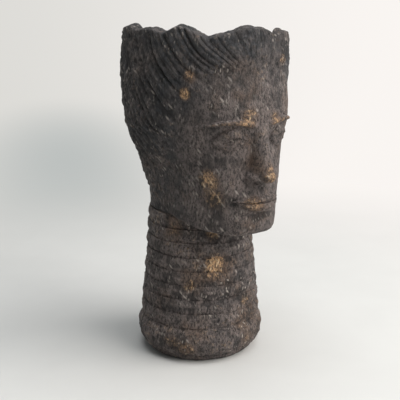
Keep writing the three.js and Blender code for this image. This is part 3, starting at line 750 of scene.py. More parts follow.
def clay_material(name, wear, marks):
    """Rough fired clay, as warm as its piece says, with painted shade and painted glints: wear is
    how much bronze is rubbed on its high spots, and marks how strongly it is scratched and glints."""
    known = bpy.data.materials.get(name)
    if known:
        return known
    colours = bpy.context.scene.clay_colours
    material = bpy.data.materials.new(name)
    material.use_nodes = True
    tree = material.node_tree
    shader = tree.nodes["Principled BSDF"]
    place = tree.nodes.new("ShaderNodeTexCoord").outputs["Object"]
    drift = noise_node(tree, place, scale=21, detail=3, roughness=0.6)
    broad = noise_node(tree, place, scale=34, detail=3)
    crowd = noise_node(tree, place, scale=52, detail=2)
    blotch = noise_node(tree, place, scale=130, detail=4, roughness=0.6)
    clump = noise_node(tree, place, scale=250, detail=3, roughness=0.7)
    drawn_out = placed(tree, place, (1, 1, 1.9), (0, 0, 0))
    grain = noise_node(tree, drawn_out, scale=520, detail=4, roughness=0.8)
    dust = noise_node(tree, place, scale=1900, detail=3, roughness=0.6)
    upright = strokes(tree, place, length=3.2, lean=6, scale=400)
    slanted = strokes(tree, place, length=3.2, lean=-28, scale=270)
    scratched = strokes(tree, place, length=3.6, lean=14, scale=310)
    # The tone attribute carries painted shade behind the cheeks, and relief carries painted shade
    # in the hair's grooves.
    relief, worn, fired = (attribute(tree, key) for key in ("relief", "worn", "tone_and_shade"))

    # Dark and warm clay in patches, darker behind the cheeks by painted shade, and brown clay and
    # thin wax over them.
    tone_and_shade = math_node(tree, "ADD", ranged(tree, broad, 0.32, 0.68, -0.18, 0.18), fired)
    tone_and_shade = math_node(tree, "ADD", tone_and_shade, ranged(tree, blotch, 0.3, 0.7, -0.2, 0.2), clamp=True)
    colour = mixed(tree, tone_and_shade, colours.dark, colours.warm)
    brown = math_node(tree, "MULTIPLY", ranged(tree, drift, 0.48, 0.68), fired)
    uneven = ranged(tree, blotch, 0.3, 0.6, 0.3, 0.85)
    thin_wax = math_node(tree, "MULTIPLY", ranged(tree, worn, 0.04, 0.45), uneven)
    colour = mixed(tree, math_node(tree, "MAXIMUM", brown, thin_wax), colour, colours.brown)

    # Dark grain and scratches, and hollows darkened, which in the hair's grooves is painted shade.
    colour = mixed(tree, ranged(tree, grain, 0.37, 0.57, 0.9, 0.0), colour, colours.pit)
    colour = mixed(tree, ranged(tree, relief, -1.1, 0.1, 0.7, 0.0), colour, colours.pit)
    colour = mixed(tree, math_node(tree, "MULTIPLY", scratched, marks), colour, colours.pit)

    # Pale strokes in crowds, partly pale scratches and partly painted glints.
    stroked = math_node(tree, "MAXIMUM", upright, slanted)
    pale = math_node(tree, "MULTIPLY", stroked, ranged(tree, crowd, 0.42, 0.62, 0.08, 1.0))
    colour = mixed(tree, math_node(tree, "MULTIPLY", pale, marks), colour, colours.scratch_and_glint)

    # Bronze on the crests and in the rubbed places, broken up by the grain, and painted brighter as
    # glints on the strokes.
    crest = ranged(tree, relief, 0.2, 1.1)
    dusty = math_node(tree, "MULTIPLY", crest, ranged(tree, clump, 0.5, 0.62))
    patch = math_node(tree, "ADD", worn, ranged(tree, clump, 0.32, 0.68, -0.5, 0.5))
    patch = ranged(tree, math_node(tree, "MULTIPLY", patch, ranged(tree, worn, 0.1, 0.4)), 0.2, 1.3)
    rubbed = math_node(tree, "ADD", math_node(tree, "MULTIPLY", dusty, wear), patch, clamp=True)
    broken = math_node(tree, "MAXIMUM", stroked, ranged(tree, grain, 0.42, 0.62, 0.12, 0.95))
    rubbed = math_node(tree, "MULTIPLY", rubbed, broken)
    colour = mixed(tree, rubbed, colour, mixed(tree, stroked, colours.bronze, colours.bright))
    tree.links.new(colour, shader.inputs["Base Color"])

    smoother = math_node(tree, "MAXIMUM", rubbed, stroked)
    rough = ranged(tree, blotch, 0.3, 0.7, 0.85, 0.62)
    rough = math_node(tree, "MULTIPLY_ADD", smoother, -STROKE_GLOSS, rough)
    tree.links.new(rough, shader.inputs["Roughness"])
    shader.inputs["Specular IOR Level"].default_value = CLAY_SPECULAR

    # Ridges at the pale strokes and cuts at the dark ones, under a fine dust.
    lines = math_node(tree, "SUBTRACT", math_node(tree, "ADD", upright, slanted), scratched)
    lines = math_node(tree, "MULTIPLY", lines, GRAIN_BUMP_STROKES * marks)
    coarse = worked_in(tree, math_node(tree, "ADD", grain, lines), GRAIN_BUMP, 1.0)
    tree.links.new(worked_in(tree, dust, DUST_BUMP, 0.5, coarse), shader.inputs["Normal"])
    return material


def neck_material():
    return clay_material("scratched_neck_clay", wear=0.3, marks=0.95)


def face_material():
    return clay_material("smoothed_face_clay", wear=0.16, marks=0.62)


def hair_material():
    return clay_material("raked_hair_clay", wear=0.1, marks=0.62)


# Neck and foot


RING_COLUMNS = 420
RING_ROUGHNESS = 1.6


def turned(radius, angle, height):
    """Points round the neck's axis, by angle from the face's middle."""
    return np.stack([radius * np.sin(angle), -radius * np.cos(angle), height], axis=-1)


def turned_ring(name, profile, sink, clay, shape):
    """A ring round the neck's axis from rows of radius and height. Shape moves its points by angle,
    and sink weighs the clay's roughness on each row."""
    columns = RING_COLUMNS
    angle = np.linspace(0, 2 * np.pi, columns, endpoint=False)
    radius, height = (np.repeat(profile[:, i : i + 1], columns, axis=1) for i in (0, 1))
    radius, height = shape(radius, height, angle[None, :])
    points = turned(radius, angle, height)
    relief = clay.relief(points, rough=RING_ROUGHNESS)
    worked = points + turned(1, angle, 0 * angle) * (relief * sink[:, None])[..., None]
    worked[..., 2] = np.maximum(worked[..., 2], 0)
    make_piece(name, worked, [ring_faces(len(profile), columns)], neck_material(),
               [name], relief / clay.sizes.grit, clay.worn(points), NECK_WARMTH)


class HEADVASE_OT_foot(bpy.types.Operator):
    """Makes the floor slab and the foot ring that the neck stands on."""

    bl_idname = "headvase.foot"
    bl_label = "Foot"

    SLAB_COLUMNS = 384
    SLAB_ROLL = 7 * MM
    SLAB_EDGE_ROUGHNESS = 0.8
    SLAB_TOP_ROUGHNESS = 0.5
    RING_ROWS = 22
    INNER_ROWS = 10
    WIDEST_SHARE = 0.57
    SHOULDER_BEND = math.radians(52)
    SHOULDER_OVERLAP = 0.01
    INSIDE_ROUGHNESS = 0.7
    JOINT_ROUGHNESS = 0.3

    # The soft groove low down on the ring: its height, depth and half breadth, and how much and
    # how slowly the first two change on the way round.
    GROOVE_SEED = 101
    GROOVE_HEIGHT, GROOVE_WANDER, WANDER_SIZE = 4.2 * MM, 1.1 * MM, 0.35
    GROOVE_DEPTH, GROOVE_CHANGE, CHANGE_SIZE = 0.8 * MM, 0.72 * MM, 0.22
    GROOVE_BREADTH = 0.8 * MM

    def execute(self, context):
        clay = Clay(context.scene.vase_sizes)
        self.slab(clay)
        self.ring(clay)
        return {"FINISHED"}

    def slab(self, clay):
        """A flat round of clay with a rolled edge, seen under the foot."""
        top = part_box("floor_slab")[1]
        contact = top.x - self.SLAB_ROLL
        columns = self.SLAB_COLUMNS
        angle = np.linspace(0, 2 * np.pi, columns, endpoint=False)
        bend = np.linspace(0, np.pi / 2, 9)
        edge = np.stack([lerp(contact, top.x, np.sin(bend)), top.z * (1 - np.cos(bend))], axis=1)
        inward = np.linspace(1, 0.02, 26)[1:]
        under = np.stack([contact * inward[::-1], np.zeros(len(inward))], axis=1)
        over = np.stack([top.x * inward, np.full(len(inward), top.z)], axis=1)
        profile = np.concatenate([under, edge, over])
        edge_end = len(under) + len(edge)
        radius, height = profile[:, :1], np.repeat(profile[:, 1:], columns, axis=1)
        points = turned(radius, angle, height)
        relief = clay.relief(points)
        out = np.zeros(len(profile))
        out[len(under) : edge_end] = self.SLAB_EDGE_ROUGHNESS
        points[..., :2] *= (1 + relief * out[:, None] / np.maximum(radius, MM))[..., None]
        points[edge_end:, :, 2] += self.SLAB_TOP_ROUGHNESS * relief[edge_end:]
        points[..., 2] = np.maximum(points[..., 2], 0)
        faces = grid_faces(len(profile), columns, wrap=True)
        last = (len(profile) - 1) * columns
        caps = [np.arange(columns)[::-1], last + np.arange(columns)]
        make_piece("floor_slab", points, [faces, *caps], neck_material(),
                   ["floor_slab"], relief / clay.sizes.grit, clay.worn(points), NECK_WARMTH)

    def ring(self, clay):
        """The rounded ring at the foot, with a soft groove low down."""
        low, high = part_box("foot_ring")
        slab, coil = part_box("floor_slab")[1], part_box(COILS[0])[1]
        widest_z = lerp(low.z, high.z, self.WIDEST_SHARE)
        shoulder = coil.x - clay.sizes.coil_bulge
        wall = clay.sizes.coil_thickness
        lower = np.linspace(0, np.pi / 2, self.RING_ROWS)
        upper = np.linspace(0, self.SHOULDER_BEND, self.RING_ROWS)[1:]
        upper = np.append(upper, self.SHOULDER_BEND + self.SHOULDER_OVERLAP)
        outer_low = np.stack([lerp(slab.x, high.x, np.sin(lower)),
                              lerp(low.z, widest_z, 1 - np.cos(lower))], axis=1)
        last_radius, last_rise = math.cos(upper[-1]), math.sin(upper[-1])
        outward = (np.cos(upper) - last_radius) / (1 - last_radius)
        outer_high = np.stack([lerp(shoulder, high.x, outward),
                               lerp(widest_z, high.z, np.sin(upper) / last_rise)], axis=1)
        inner = np.stack([np.linspace(coil.x - wall, slab.x - wall, self.INNER_ROWS),
                          np.linspace(high.z, low.z, self.INNER_ROWS)], axis=1)
        profile = np.concatenate([outer_low, outer_high, inner])
        is_outer = np.arange(len(profile)) < len(outer_low) + len(outer_high)
        sink = np.where(is_outer, 1, self.INSIDE_ROUGHNESS)
        sink[[0, -1]] = self.JOINT_ROUGHNESS
        noise = Noise(clay.sizes.seed + self.GROOVE_SEED)

        def grooved(radius, height, angle):
            around = np.stack([np.sin(angle), np.cos(angle), 0 * angle], axis=-1)
            wander, change = noise(around, self.WANDER_SIZE), noise(around + 5, self.CHANGE_SIZE)
            line = low.z + self.GROOVE_HEIGHT + self.GROOVE_WANDER * wander
            depth = np.maximum(self.GROOVE_DEPTH + self.GROOVE_CHANGE * change, 0)
            cut = depth * fade(height - line, self.GROOVE_BREADTH)
            return radius - np.where(is_outer[:, None], cut, 0), height

        turned_ring("foot_ring", profile, sink, clay, grooved)


class HEADVASE_OT_neck(bpy.types.Operator):
    """Makes the neck's stacked coils, smeared over each other by hand."""

    bl_idname = "headvase.neck"
    bl_label = "Neck coils"

    NOISE_SEEDS = (201, 202, 203, 204)
    OUTER_ROWS = 26
    INNER_ROWS = 9
    INSIDE_ROUGHNESS = 0.8

    # How a coil was pressed: the rise and fall of its joints, how far they open, the splits in
    # them, and how far its middle is pushed in and out. Each size is that of the noise behind it,
    # on a circle of radius 1.
    JOINT_WAVE, WAVE_SIZE = 0.9 * MM, 0.45
    JOINT_DEPTH_SHARE, JOINT_CHANGE_SHARE, JOINT_SIZE = 0.42, 0.45, 0.35
    SPLIT_DEPTH, SPLIT_BREADTH, SPLIT_START, SPLIT_SIZE = 1.2 * MM, 0.9 * MM, 0.4, 0.24
    PRESS_DEPTH, PRESS_SIZE = 0.7 * MM, 0.33
    SEED_STEP = 0.77
    BULGES_TO_MIDDLE = 3

    def execute(self, context):
        sizes = context.scene.vase_sizes
        clay = Clay(sizes)
        noises = [Noise(sizes.seed + seed) for seed in self.NOISE_SEEDS]
        rise = np.concatenate([[-1], np.linspace(-0.99, 0.99, self.OUTER_ROWS), [1]])
        for number, name in enumerate(COILS):
            low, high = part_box(name)
            middle, half = (low.z + high.z) / 2, (high.z - low.z + JOINT_GAP) / 2
            outer_x, inner_x = high.x - sizes.coil_bulge, high.x - sizes.coil_thickness
            outer = np.stack([np.full(len(rise), outer_x), middle + half * rise], axis=1)
            inner_z = np.linspace(high.z, low.z, self.INNER_ROWS)
            inner = np.stack([np.full(len(inner_z), inner_x), inner_z], axis=1)
            profile = np.concatenate([outer, inner])
            is_outer = (np.arange(len(profile)) < len(rise))[:, None]
            share = np.concatenate([rise, 0 * inner_z])[:, None]

            def coiled(radius, height, angle, number=number, is_outer=is_outer, share=share):
                swell, wave = self.pressed(sizes, noises, number, share, angle)
                return radius + np.where(is_outer, swell, 0), height + np.where(is_outer, wave, 0)

            sink = np.where(is_outer[:, 0], 1, self.INSIDE_ROUGHNESS)
            turned_ring(name, profile, sink, clay, coiled)
        return {"FINISHED"}

    def pressed(self, sizes, noises, number, share, angle):
        """A coil's swell and the rise and fall of its joints. Share runs from -1 at its lower
        joint to 1 at its upper one."""
        wander, opening, press, crack = noises
        around = np.stack([np.sin(angle), np.cos(angle), 0 * angle], axis=-1)

        def joints(noise, size):
            """The noise at the coil's lower and upper joint."""
            places = [(0, 0, self.SEED_STEP * (number + i)) for i in (0, 1)]
            return [noise(around + np.array(place), size) for place in places]

        up = smoothstep(share, -0.6, 0.6)
        wave = lerp(*joints(wander, self.WAVE_SIZE), (share + 1) / 2)
        change = lerp(*joints(opening, self.JOINT_SIZE), up)
        depth = self.JOINT_DEPTH_SHARE + self.JOINT_CHANGE_SHARE * change
        cracks = joints(crack, self.SPLIT_SIZE)
        split = lerp(*(np.maximum(joint - self.SPLIT_START, 0) for joint in cracks), up)
        from_joint = (1 - np.abs(share)) * sizes.coil_bulge * self.BULGES_TO_MIDDLE
        swell = sizes.coil_bulge * (1 - depth * (1 - np.cos(np.pi * share)) / 2)
        swell = swell - self.SPLIT_DEPTH * split * fade(from_joint, self.SPLIT_BREADTH)
        swell = swell + self.PRESS_DEPTH * joints(press, self.PRESS_SIZE)[0] * (1 - share**2)
        return swell, self.JOINT_WAVE * wave


# Head wall


class HEADVASE_OT_head(bpy.types.Operator):
    """Makes the head's wall, smoothed over its four bands into one shell with a thick soft rim."""

    bl_idname = "headvase.head"
    bl_label = "Head wall"

    COLUMNS = 400
    OUTER_ROWS = 168
    CREST_ROWS = 7
    INNER_ROWS = 40
    FACE_CROWDING = 0.32
    MEASURED_ROWS = 400
    MEASURED_ANGLES = np.radians((0, 45, 90, 180))
    CREST_RISE = 0.9 * MM
    CREST_LEVELS = 0.012
    INSIDE_ROUGHNESS = 1.3

    # Small forms of the wall: how far each stands out, and its half breadth and half height.
    LIP_GROOVE_LIFT, LIP_GROOVE_REACH = -1.3 * MM, (2.6 * MM, 5.5 * MM)
    LIP_RIDGE_LIFT, LIP_RIDGE_REACH = 0.6 * MM, (2.4 * MM, 5.5 * MM)
    LIP_RIDGE_X = 5 * MM
    TUCK_LIFT, TUCK_REACH = -1.6 * MM, (3.2 * MM, 3.4 * MM)
    TUCK_OUT = 1.5 * MM
    CREASE_LIFT, CREASE_REACH = -1.4 * MM, (13 * MM, 2.6 * MM)
    SMEAR_LIFT, SMEAR_REACH = 2.1 * MM, 11 * MM
    SMEAR_RISE, SMEAR_TURNS = 16 * MM, (1.2, 1.9)

    def even_levels(self, form, low, high, count):
        """Levels from low to high that are about as far apart on the surface all the way."""
        level = np.linspace(low, high, self.MEASURED_ROWS)
        rows = form.surface(self.MEASURED_ANGLES[:, None], level[None, :])
        steps = np.linalg.norm(np.diff(rows, axis=1), axis=-1).mean(axis=0)
        length = np.concatenate([[0], np.cumsum(steps)])
        return np.interp(np.linspace(0, length[-1], count), length, level)

    def execute(self, context):
        sizes = context.scene.vase_sizes
        form, clay = HeadForm(sizes), Clay(sizes)
        turn = np.linspace(-np.pi, np.pi, self.COLUMNS, endpoint=False)
        angle = (turn - self.FACE_CROWDING * np.sin(turn))[None, :]
        outer = self.even_levels(form, 0, RIM_LEVEL, self.OUTER_ROWS)
        inner = self.even_levels(form, INNER_LEVEL, RIM_LEVEL, self.INNER_ROWS)[::-1]
        bend = np.linspace(0, np.pi, self.CREST_ROWS + 2)[1:-1]
        level = np.concatenate([outer, np.full(len(bend), RIM_LEVEL), inner])[:, None]
        inwards = np.concatenate([0 * outer, (1 - np.cos(bend)) / 2, 0 * inner + 1])
        crest = np.concatenate([0 * outer, self.CREST_RISE * np.sin(bend), 0 * inner])
        drop = smoothstep(level[:, 0], RIM_LEVEL - self.CREST_LEVELS, RIM_LEVEL) * self.CREST_RISE
        points = form.lifted(angle, level, -sizes.wall * inwards[:, None])
        points[..., 2] += (crest - drop)[:, None]
        normal = form.normal(angle + 0 * level, level + 0 * angle)
        relief = clay.relief(points, rough=0.9) + self.modelling(form, points)
        away = np.where(inwards > 0.5, -self.INSIDE_ROUGHNESS, 1.0)
        away[0] = 0
        worked = points + normal * (relief * away[:, None])[..., None]
        bore = turned(form.bore_radius, angle, form.base_z + 0 * angle)
        worked = np.concatenate([worked, bore])
        relief = np.concatenate([relief, np.zeros((1, self.COLUMNS))])
        make_piece("head_wall", worked, [ring_faces(len(worked), self.COLUMNS)], face_material(),
                   BANDS, relief / sizes.grit, clay.worn(worked), form.tone_and_shade(worked))
        return {"FINISHED"}

    def modelling(self, form, points):
        """The groove under the nose, the tucks at the mouth's corners, the crease under the lips
        and the clay smeared up the nape."""
        sizes = form.sizes
        x, z = points[..., 0], points[..., 2]
        front = points[..., 1] < -form.joint_radius
        under_nose = (form.nose_z + form.mouth_z) / 2 + sizes.lip_height * 0.4
        under_lips = form.mouth_z - sizes.lip_height * 1.75
        tuck_x = sizes.mouth_width / 2 + self.TUCK_OUT
        height = self.LIP_GROOVE_LIFT * spot(x, z, (0, under_nose), self.LIP_GROOVE_REACH)
        height = height + self.CREASE_LIFT * spot(x, z, (0, under_lips), self.CREASE_REACH)
        for side in SIDES.values():
            ridge = spot(x, z, (side * self.LIP_RIDGE_X, under_nose), self.LIP_RIDGE_REACH)
            tuck = spot(x, z, (side * tuck_x, form.mouth_z), self.TUCK_REACH)
            height = height + self.LIP_RIDGE_LIFT * ridge + self.TUCK_LIFT * tuck
        turn = np.abs(np.arctan2(x, -points[..., 1]))
        nape = fade(z - form.base_z - self.SMEAR_RISE, self.SMEAR_REACH)
        nape = nape * smoothstep(turn, *self.SMEAR_TURNS)
        return np.where(front, height, self.SMEAR_LIFT * nape)


# Features


# How a feature lies on the wall: how round the wall is there and how far round it may reach, where
# it is sunk and from where it shows, how deep its back goes, and how much more relief its high
# parts have.
WALL_CURVE_SHARE = 0.86
WIDEST_SINE = 0.98
SUNK = -2 * MM
SHOWN_RISE = -0.36 * MM
FEWEST_CELLS = 20
FEATURE_BACK = 1.6 * MM
HIGH_RISE = 0.2 * MM
HIGH_RELIEF = 0.25


def feature_piece(name, form, clay, span, heights, hang=None, rubbed=0.0, step=0.55 * MM):
    """A piece laid on the face: heights gives its rise above the wall at x and z, inside the span
    of lowest x, highest x, lowest z and highest z. Hang moves its points by their height and rise,
    and rubbed is how much bronze its high parts carry."""
    x_low, x_high, z_low, z_high = span
    middle_z = (z_low + z_high) / 2
    reach = -form.surface(np.array(0.0), form.level_at(np.array(0.0), np.array(middle_z)))[1]
    sines = np.array((x_low, x_high)) / (reach * WALL_CURVE_SHARE)
    angle_low, angle_high = np.arcsin(np.clip(sines, -WIDEST_SINE, WIDEST_SINE))
    corner_angles, corner_heights = [0, angle_low, angle_high] * 2, [z_low] * 3 + [z_high] * 3
    corners = form.level_at(np.array(corner_angles), np.array(corner_heights))
    columns = int((x_high - x_low) / step) + 2
    rows = int((z_high - z_low) / step) + 2
    angle = np.linspace(angle_low, angle_high, columns)[None, :]
    level = np.linspace(corners.min(), corners.max(), rows)[:, None]
    base = form.lifted(angle, level, 0.0)
    normal = form.normal(angle + 0 * level, level + 0 * angle)
    x, z = base[..., 0], base[..., 2]
    inside = (x > x_low) & (x < x_high) & (z > z_low) & (z < z_high)
    rise = np.where(inside, heights(x, z), SUNK)
    relief = clay.relief(base)
    top = base + normal * (rise + relief)[..., None]
    if hang is not None:
        top = top + hang(z, rise)
    shown = rise > SHOWN_RISE
    keep = shown[:-1, :-1] & shown[1:, :-1] & shown[:-1, 1:] & shown[1:, 1:]
    if keep.sum() < FEWEST_CELLS:
        raise RuntimeError(f"{name} has come out too small to make")
    back = -normal * (np.maximum(rise, 0) + FEATURE_BACK)[..., None]
    points, faces, used = pillow(top, keep, back)
    shade = (relief / clay.sizes.grit + HIGH_RELIEF * (rise > HIGH_RISE)).ravel()[used]
    worn = (clay.worn(top) + rubbed * smoothstep(rise, 0.2 * rise.max(), rise.max())).ravel()[used]
    make_piece(name, points, faces, face_material(), [name],
               np.tile(shade, 2), np.tile(worn, 2), form.tone_and_shade(points))


class HEADVASE_OT_nose(bpy.types.Operator):
    """Makes the nose: a straight bridge, a rounded tip and two wings over the nostrils."""

    bl_idname = "headvase.nose"
    bl_label = "Nose"

    # Up the middle third: share of its height, share of the nose's lift, and half width as a share.
    UP_SHARES = (-0.06, 0, 0.05, 0.14, 0.26, 0.45, 0.68, 0.88, 1.04)
    LIFT_SHARES = (0.05, 0.5, 0.9, 1.0, 0.9, 0.66, 0.44, 0.27, 0.08)
    WIDTH_SHARES = (0.2, 0.25, 0.3, 0.33, 0.3, 0.26, 0.22, 0.21, 0.24)

    # Places and half sizes: across in shares of the nose's width, up in shares of a face third.
    SPAN_SHARE, SPAN_UNDER, SPAN_OVER = 0.62, 5 * MM, 3 * MM
    TIP_UP, TIP_REACH = 0.15, (0.3, 0.135)
    WING_PLACE, WING_REACH, WING_LIFT_SHARE = (0.335, 0.105), (0.165, 0.115), 0.56
    NOSTRIL_PLACE, NOSTRIL_REACH, NOSTRIL_DEPTH = (0.19, 0.012), (2.5 * MM, 2.2 * MM), 5.5 * MM
    CREASE_PLACE, CREASE_REACH, CREASE_DEPTH = (0.24, 0.17), (1.3 * MM, 4 * MM), 1.2 * MM
    BRIDGE_ROUNDING = 0.72
    JOIN_SOFTNESS = 1.3 * MM
    TIP_DROP = 3 * MM

    def execute(self, context):
        sizes = context.scene.vase_sizes
        form, clay = HeadForm(sizes), Clay(sizes)
        width, lift, third = sizes.nose_width, sizes.nose_lift, sizes.third

        def at(across, up):
            return across * width, form.nose_z + up * third

        def heights(x, z):
            up = (z - form.nose_z) / third
            rise = lift * smooth_table(self.UP_SHARES, self.LIFT_SHARES, up)
            half = width * smooth_table(self.UP_SHARES, self.WIDTH_SHARES, up)
            ridge = rise * (1 - (x / half) ** 2 * self.BRIDGE_ROUNDING)
            tip_reach = (self.TIP_REACH[0] * width, self.TIP_REACH[1] * third)
            wing_reach = (self.WING_REACH[0] * width, self.WING_REACH[1] * third)
            forms = [ridge, bump(x, z, at(0, self.TIP_UP), tip_reach, lift)]
            for side in SIDES.values():
                wing = at(side * self.WING_PLACE[0], self.WING_PLACE[1])
                forms.append(bump(x, z, wing, wing_reach, lift * self.WING_LIFT_SHARE))
            height = soft_union(forms, self.JOIN_SOFTNESS)
            for side in SIDES.values():
                nostril = at(side * self.NOSTRIL_PLACE[0], self.NOSTRIL_PLACE[1])
                crease = at(side * self.CREASE_PLACE[0], self.CREASE_PLACE[1])
                height = height - self.NOSTRIL_DEPTH * spot(x, z, nostril, self.NOSTRIL_REACH)
                height = height - self.CREASE_DEPTH * spot(x, z, crease, self.CREASE_REACH)
            return settled(height, fillet=1.1 * MM, sink=0.6 * MM)

        def hang(z, rise):
            low = 1 - smoothstep(z, form.nose_z, form.nose_z + 0.5 * third)
            drop = -self.TIP_DROP * np.clip(rise / lift, 0, 1) ** 1.5 * low
            return np.stack([0 * drop, 0 * drop, drop], axis=-1)

        half_span = self.SPAN_SHARE * width
        span = (-half_span, half_span, form.nose_z - self.SPAN_UNDER, form.brow_z + self.SPAN_OVER)
        feature_piece("nose", form, clay, span, heights, hang, rubbed=0.3)
        return {"FINISHED"}


class HEADVASE_OT_eyes(bpy.types.Operator):
    """Makes each eye with its incised iris, and the two lids round it."""

    bl_idname = "headvase.eyes"
    bl_label = "Eyes"

    STEP = 0.4 * MM

    # The opening's edges: shares of it above and below the eye's middle, and how round they are.
    ABOVE_SHARE, BELOW_SHARE, EDGE_POWER, EDGE_GAP = 0.55, 0.45, 0.85, 0.5 * MM
    UNDER_LID = 1.2 * MM

    BALL_LIFT, BALL_REACH_SHARES = 4.7 * MM, (0.66, 0.52)
    IRIS_RADIUS, IRIS_DEPTH, IRIS_BREADTH, IRIS_SQUASH = 4.6 * MM, 0.75 * MM, 0.62 * MM, 0.94
    PUPIL_DEPTH, PUPIL_REACH = 1.3 * MM, 1.5 * MM
    CORNER_SHARE, CORNER_DEPTH = 0.42, 0.5 * MM

    UPPER_LID_LIFT, UPPER_LID_BREADTH = 6.4 * MM, 5.2 * MM
    LOWER_LID_LIFT, LOWER_LID_BREADTH = 5.0 * MM, 4.4 * MM
    LID_END_BREADTH = 1.3 * MM
    LID_CUT = 0.07
    LID_CREASE_DEPTH = 0.7 * MM
    INNER_SLOPE = 7
    END_SLOPE = 72 * MM

    def execute(self, context):
        sizes = context.scene.vase_sizes
        form, clay = HeadForm(sizes), Clay(sizes)
        for side_name, side in SIDES.items():
            self.eye(form, clay, side_name, side)
        return {"FINISHED"}

    def eye(self, form, clay, side_name, side):
        """Makes one eye and its two lids, which follow the edges of its opening."""
        sizes = form.sizes
        width, opening = sizes.eye_width, sizes.eye_opening
        middle = side * width

        def share(x):
            return ((x - middle) * side + width / 2) / width

        def opened(x, part):
            return form.eye_z + part * opening * arch(share(x)) ** self.EDGE_POWER

        def upper(x):
            return opened(x, self.ABOVE_SHARE) + self.EDGE_GAP

        def lower(x):
            return opened(x, -self.BELOW_SHARE) - self.EDGE_GAP

        def eyeball(x, z):
            reach = tuple(part * width for part in self.BALL_REACH_SHARES)
            height = bump(x, z, (middle, form.eye_z), reach, self.BALL_LIFT)
            away = np.hypot(x - middle, (z - form.eye_z) * self.IRIS_SQUASH)
            height = height - self.IRIS_DEPTH * fade(away - self.IRIS_RADIUS, self.IRIS_BREADTH)
            height = height - self.PUPIL_DEPTH * fade(away, self.PUPIL_REACH)
            corner = side * (x - middle) < -self.CORNER_SHARE * width
            height = height - np.where(corner, self.CORNER_DEPTH, 0)
            shut = (z > upper(x) + self.UNDER_LID) | (z < lower(x) - self.UNDER_LID)
            outside = past_ends(share(x), -0.02, 1.02) > 0
            return np.where(shut | outside, SUNK, height)

        def lid(edge, direction, lift, breadth):
            def heights(x, z):
                along = share(x)
                wide = lerp(self.LID_END_BREADTH, breadth, arch(along))
                across = (z - edge(x)) * direction / wide
                swell = blunt_arch(along, self.LID_CUT)
                rolled = lift * swell * np.cos(np.clip(across, 0, 1.25) * np.pi / 2.1)
                rolled = np.where(across < 0, rolled + across * wide * self.INNER_SLOPE, rolled)
                crease = self.LID_CREASE_DEPTH * fade(across - 1.05, 0.16) * arch(along)
                ends = self.END_SLOPE * past_ends(along, -0.04, 1.06)
                return settled(rolled - crease - ends, fillet=0.45 * MM, sink=0.5 * MM)

            return heights

        upper_lid = lid(upper, 1, self.UPPER_LID_LIFT, self.UPPER_LID_BREADTH)
        lower_lid = lid(lower, -1, self.LOWER_LID_LIFT, self.LOWER_LID_BREADTH)
        x_range = sorted((middle - side * 0.62 * width, middle + side * 0.66 * width))
        span = (*x_range, form.eye_z - opening, form.eye_z + opening)
        for part, heights, rubbed in (("eye", eyeball, 0.0), ("upper_eyelid", upper_lid, 0.15),
                                      ("lower_eyelid", lower_lid, 0.1)):
            feature_piece(f"{part}_{side_name}", form, clay, span, heights, rubbed=rubbed,
                          step=self.STEP)


class HEADVASE_OT_brows(bpy.types.Operator):
    """Makes the brow ridges, with their hair pricked in by short strokes."""

    bl_idname = "headvase.brows"
    bl_label = "Brows"

    STEP = 0.45 * MM
    LENGTH = 42 * MM
    BREADTH = 8 * MM
    LIFT = 4.6 * MM
    START = 8 * MM
    CURVE_SHARE = 0.7
    CUT = 0.08
    NOISE_SEED = 301
    STROKE_PITCH = 2.1 * MM
    STROKE_DEPTH = 0.45 * MM
    STROKE_LEAN = (0.8, -0.75)
    JITTER_SIZE = 3.5 * MM
    END_SLOPE = 60 * MM

    def execute(self, context):
        sizes = context.scene.vase_sizes
        form, clay = HeadForm(sizes), Clay(sizes)
        wander = Noise(sizes.seed + self.NOISE_SEED)
        for side_name, side in SIDES.items():

            def heights(x, z, side=side):
                along = (x * side - self.START) / self.LENGTH
                curve = self.BREADTH * self.CURVE_SHARE * arch(lerp(0.1, 0.85, along))
                low = form.brow_z - self.BREADTH / 2 + curve
                breadth = lerp(self.BREADTH, self.BREADTH / 2, np.clip(along, 0, 1))
                across = (z - low) / breadth
                swell = blunt_arch(along, self.CUT)
                ridge = self.LIFT * swell * (1 - np.abs(2 * across - 0.9) ** 2.2)
                jitter = wander(np.stack([x, z, 0 * x], axis=-1), self.JITTER_SIZE)
                place = x * side * self.STROKE_LEAN[0] + z * self.STROKE_LEAN[1]
                stroke = (1 - np.sin(place * 2 * np.pi / self.STROKE_PITCH + 1.6 * jitter)) / 2
                ridge = ridge - self.STROKE_DEPTH * stroke * (ridge > 0) * (0.6 + 0.4 * jitter)
                ends = self.END_SLOPE * past_ends(along, -0.05, 1.05)
                return settled(ridge - ends, fillet=1.0 * MM, sink=0.6 * MM)

            x_range = sorted((side * 4 * MM, side * (self.LENGTH + 13 * MM)))
            span = (*x_range, form.brow_z - self.BREADTH * 1.2, form.brow_z + self.BREADTH * 1.6)
            feature_piece(f"brow_{side_name}", form, clay, span, heights, rubbed=0.4,
                          step=self.STEP)
        return {"FINISHED"}


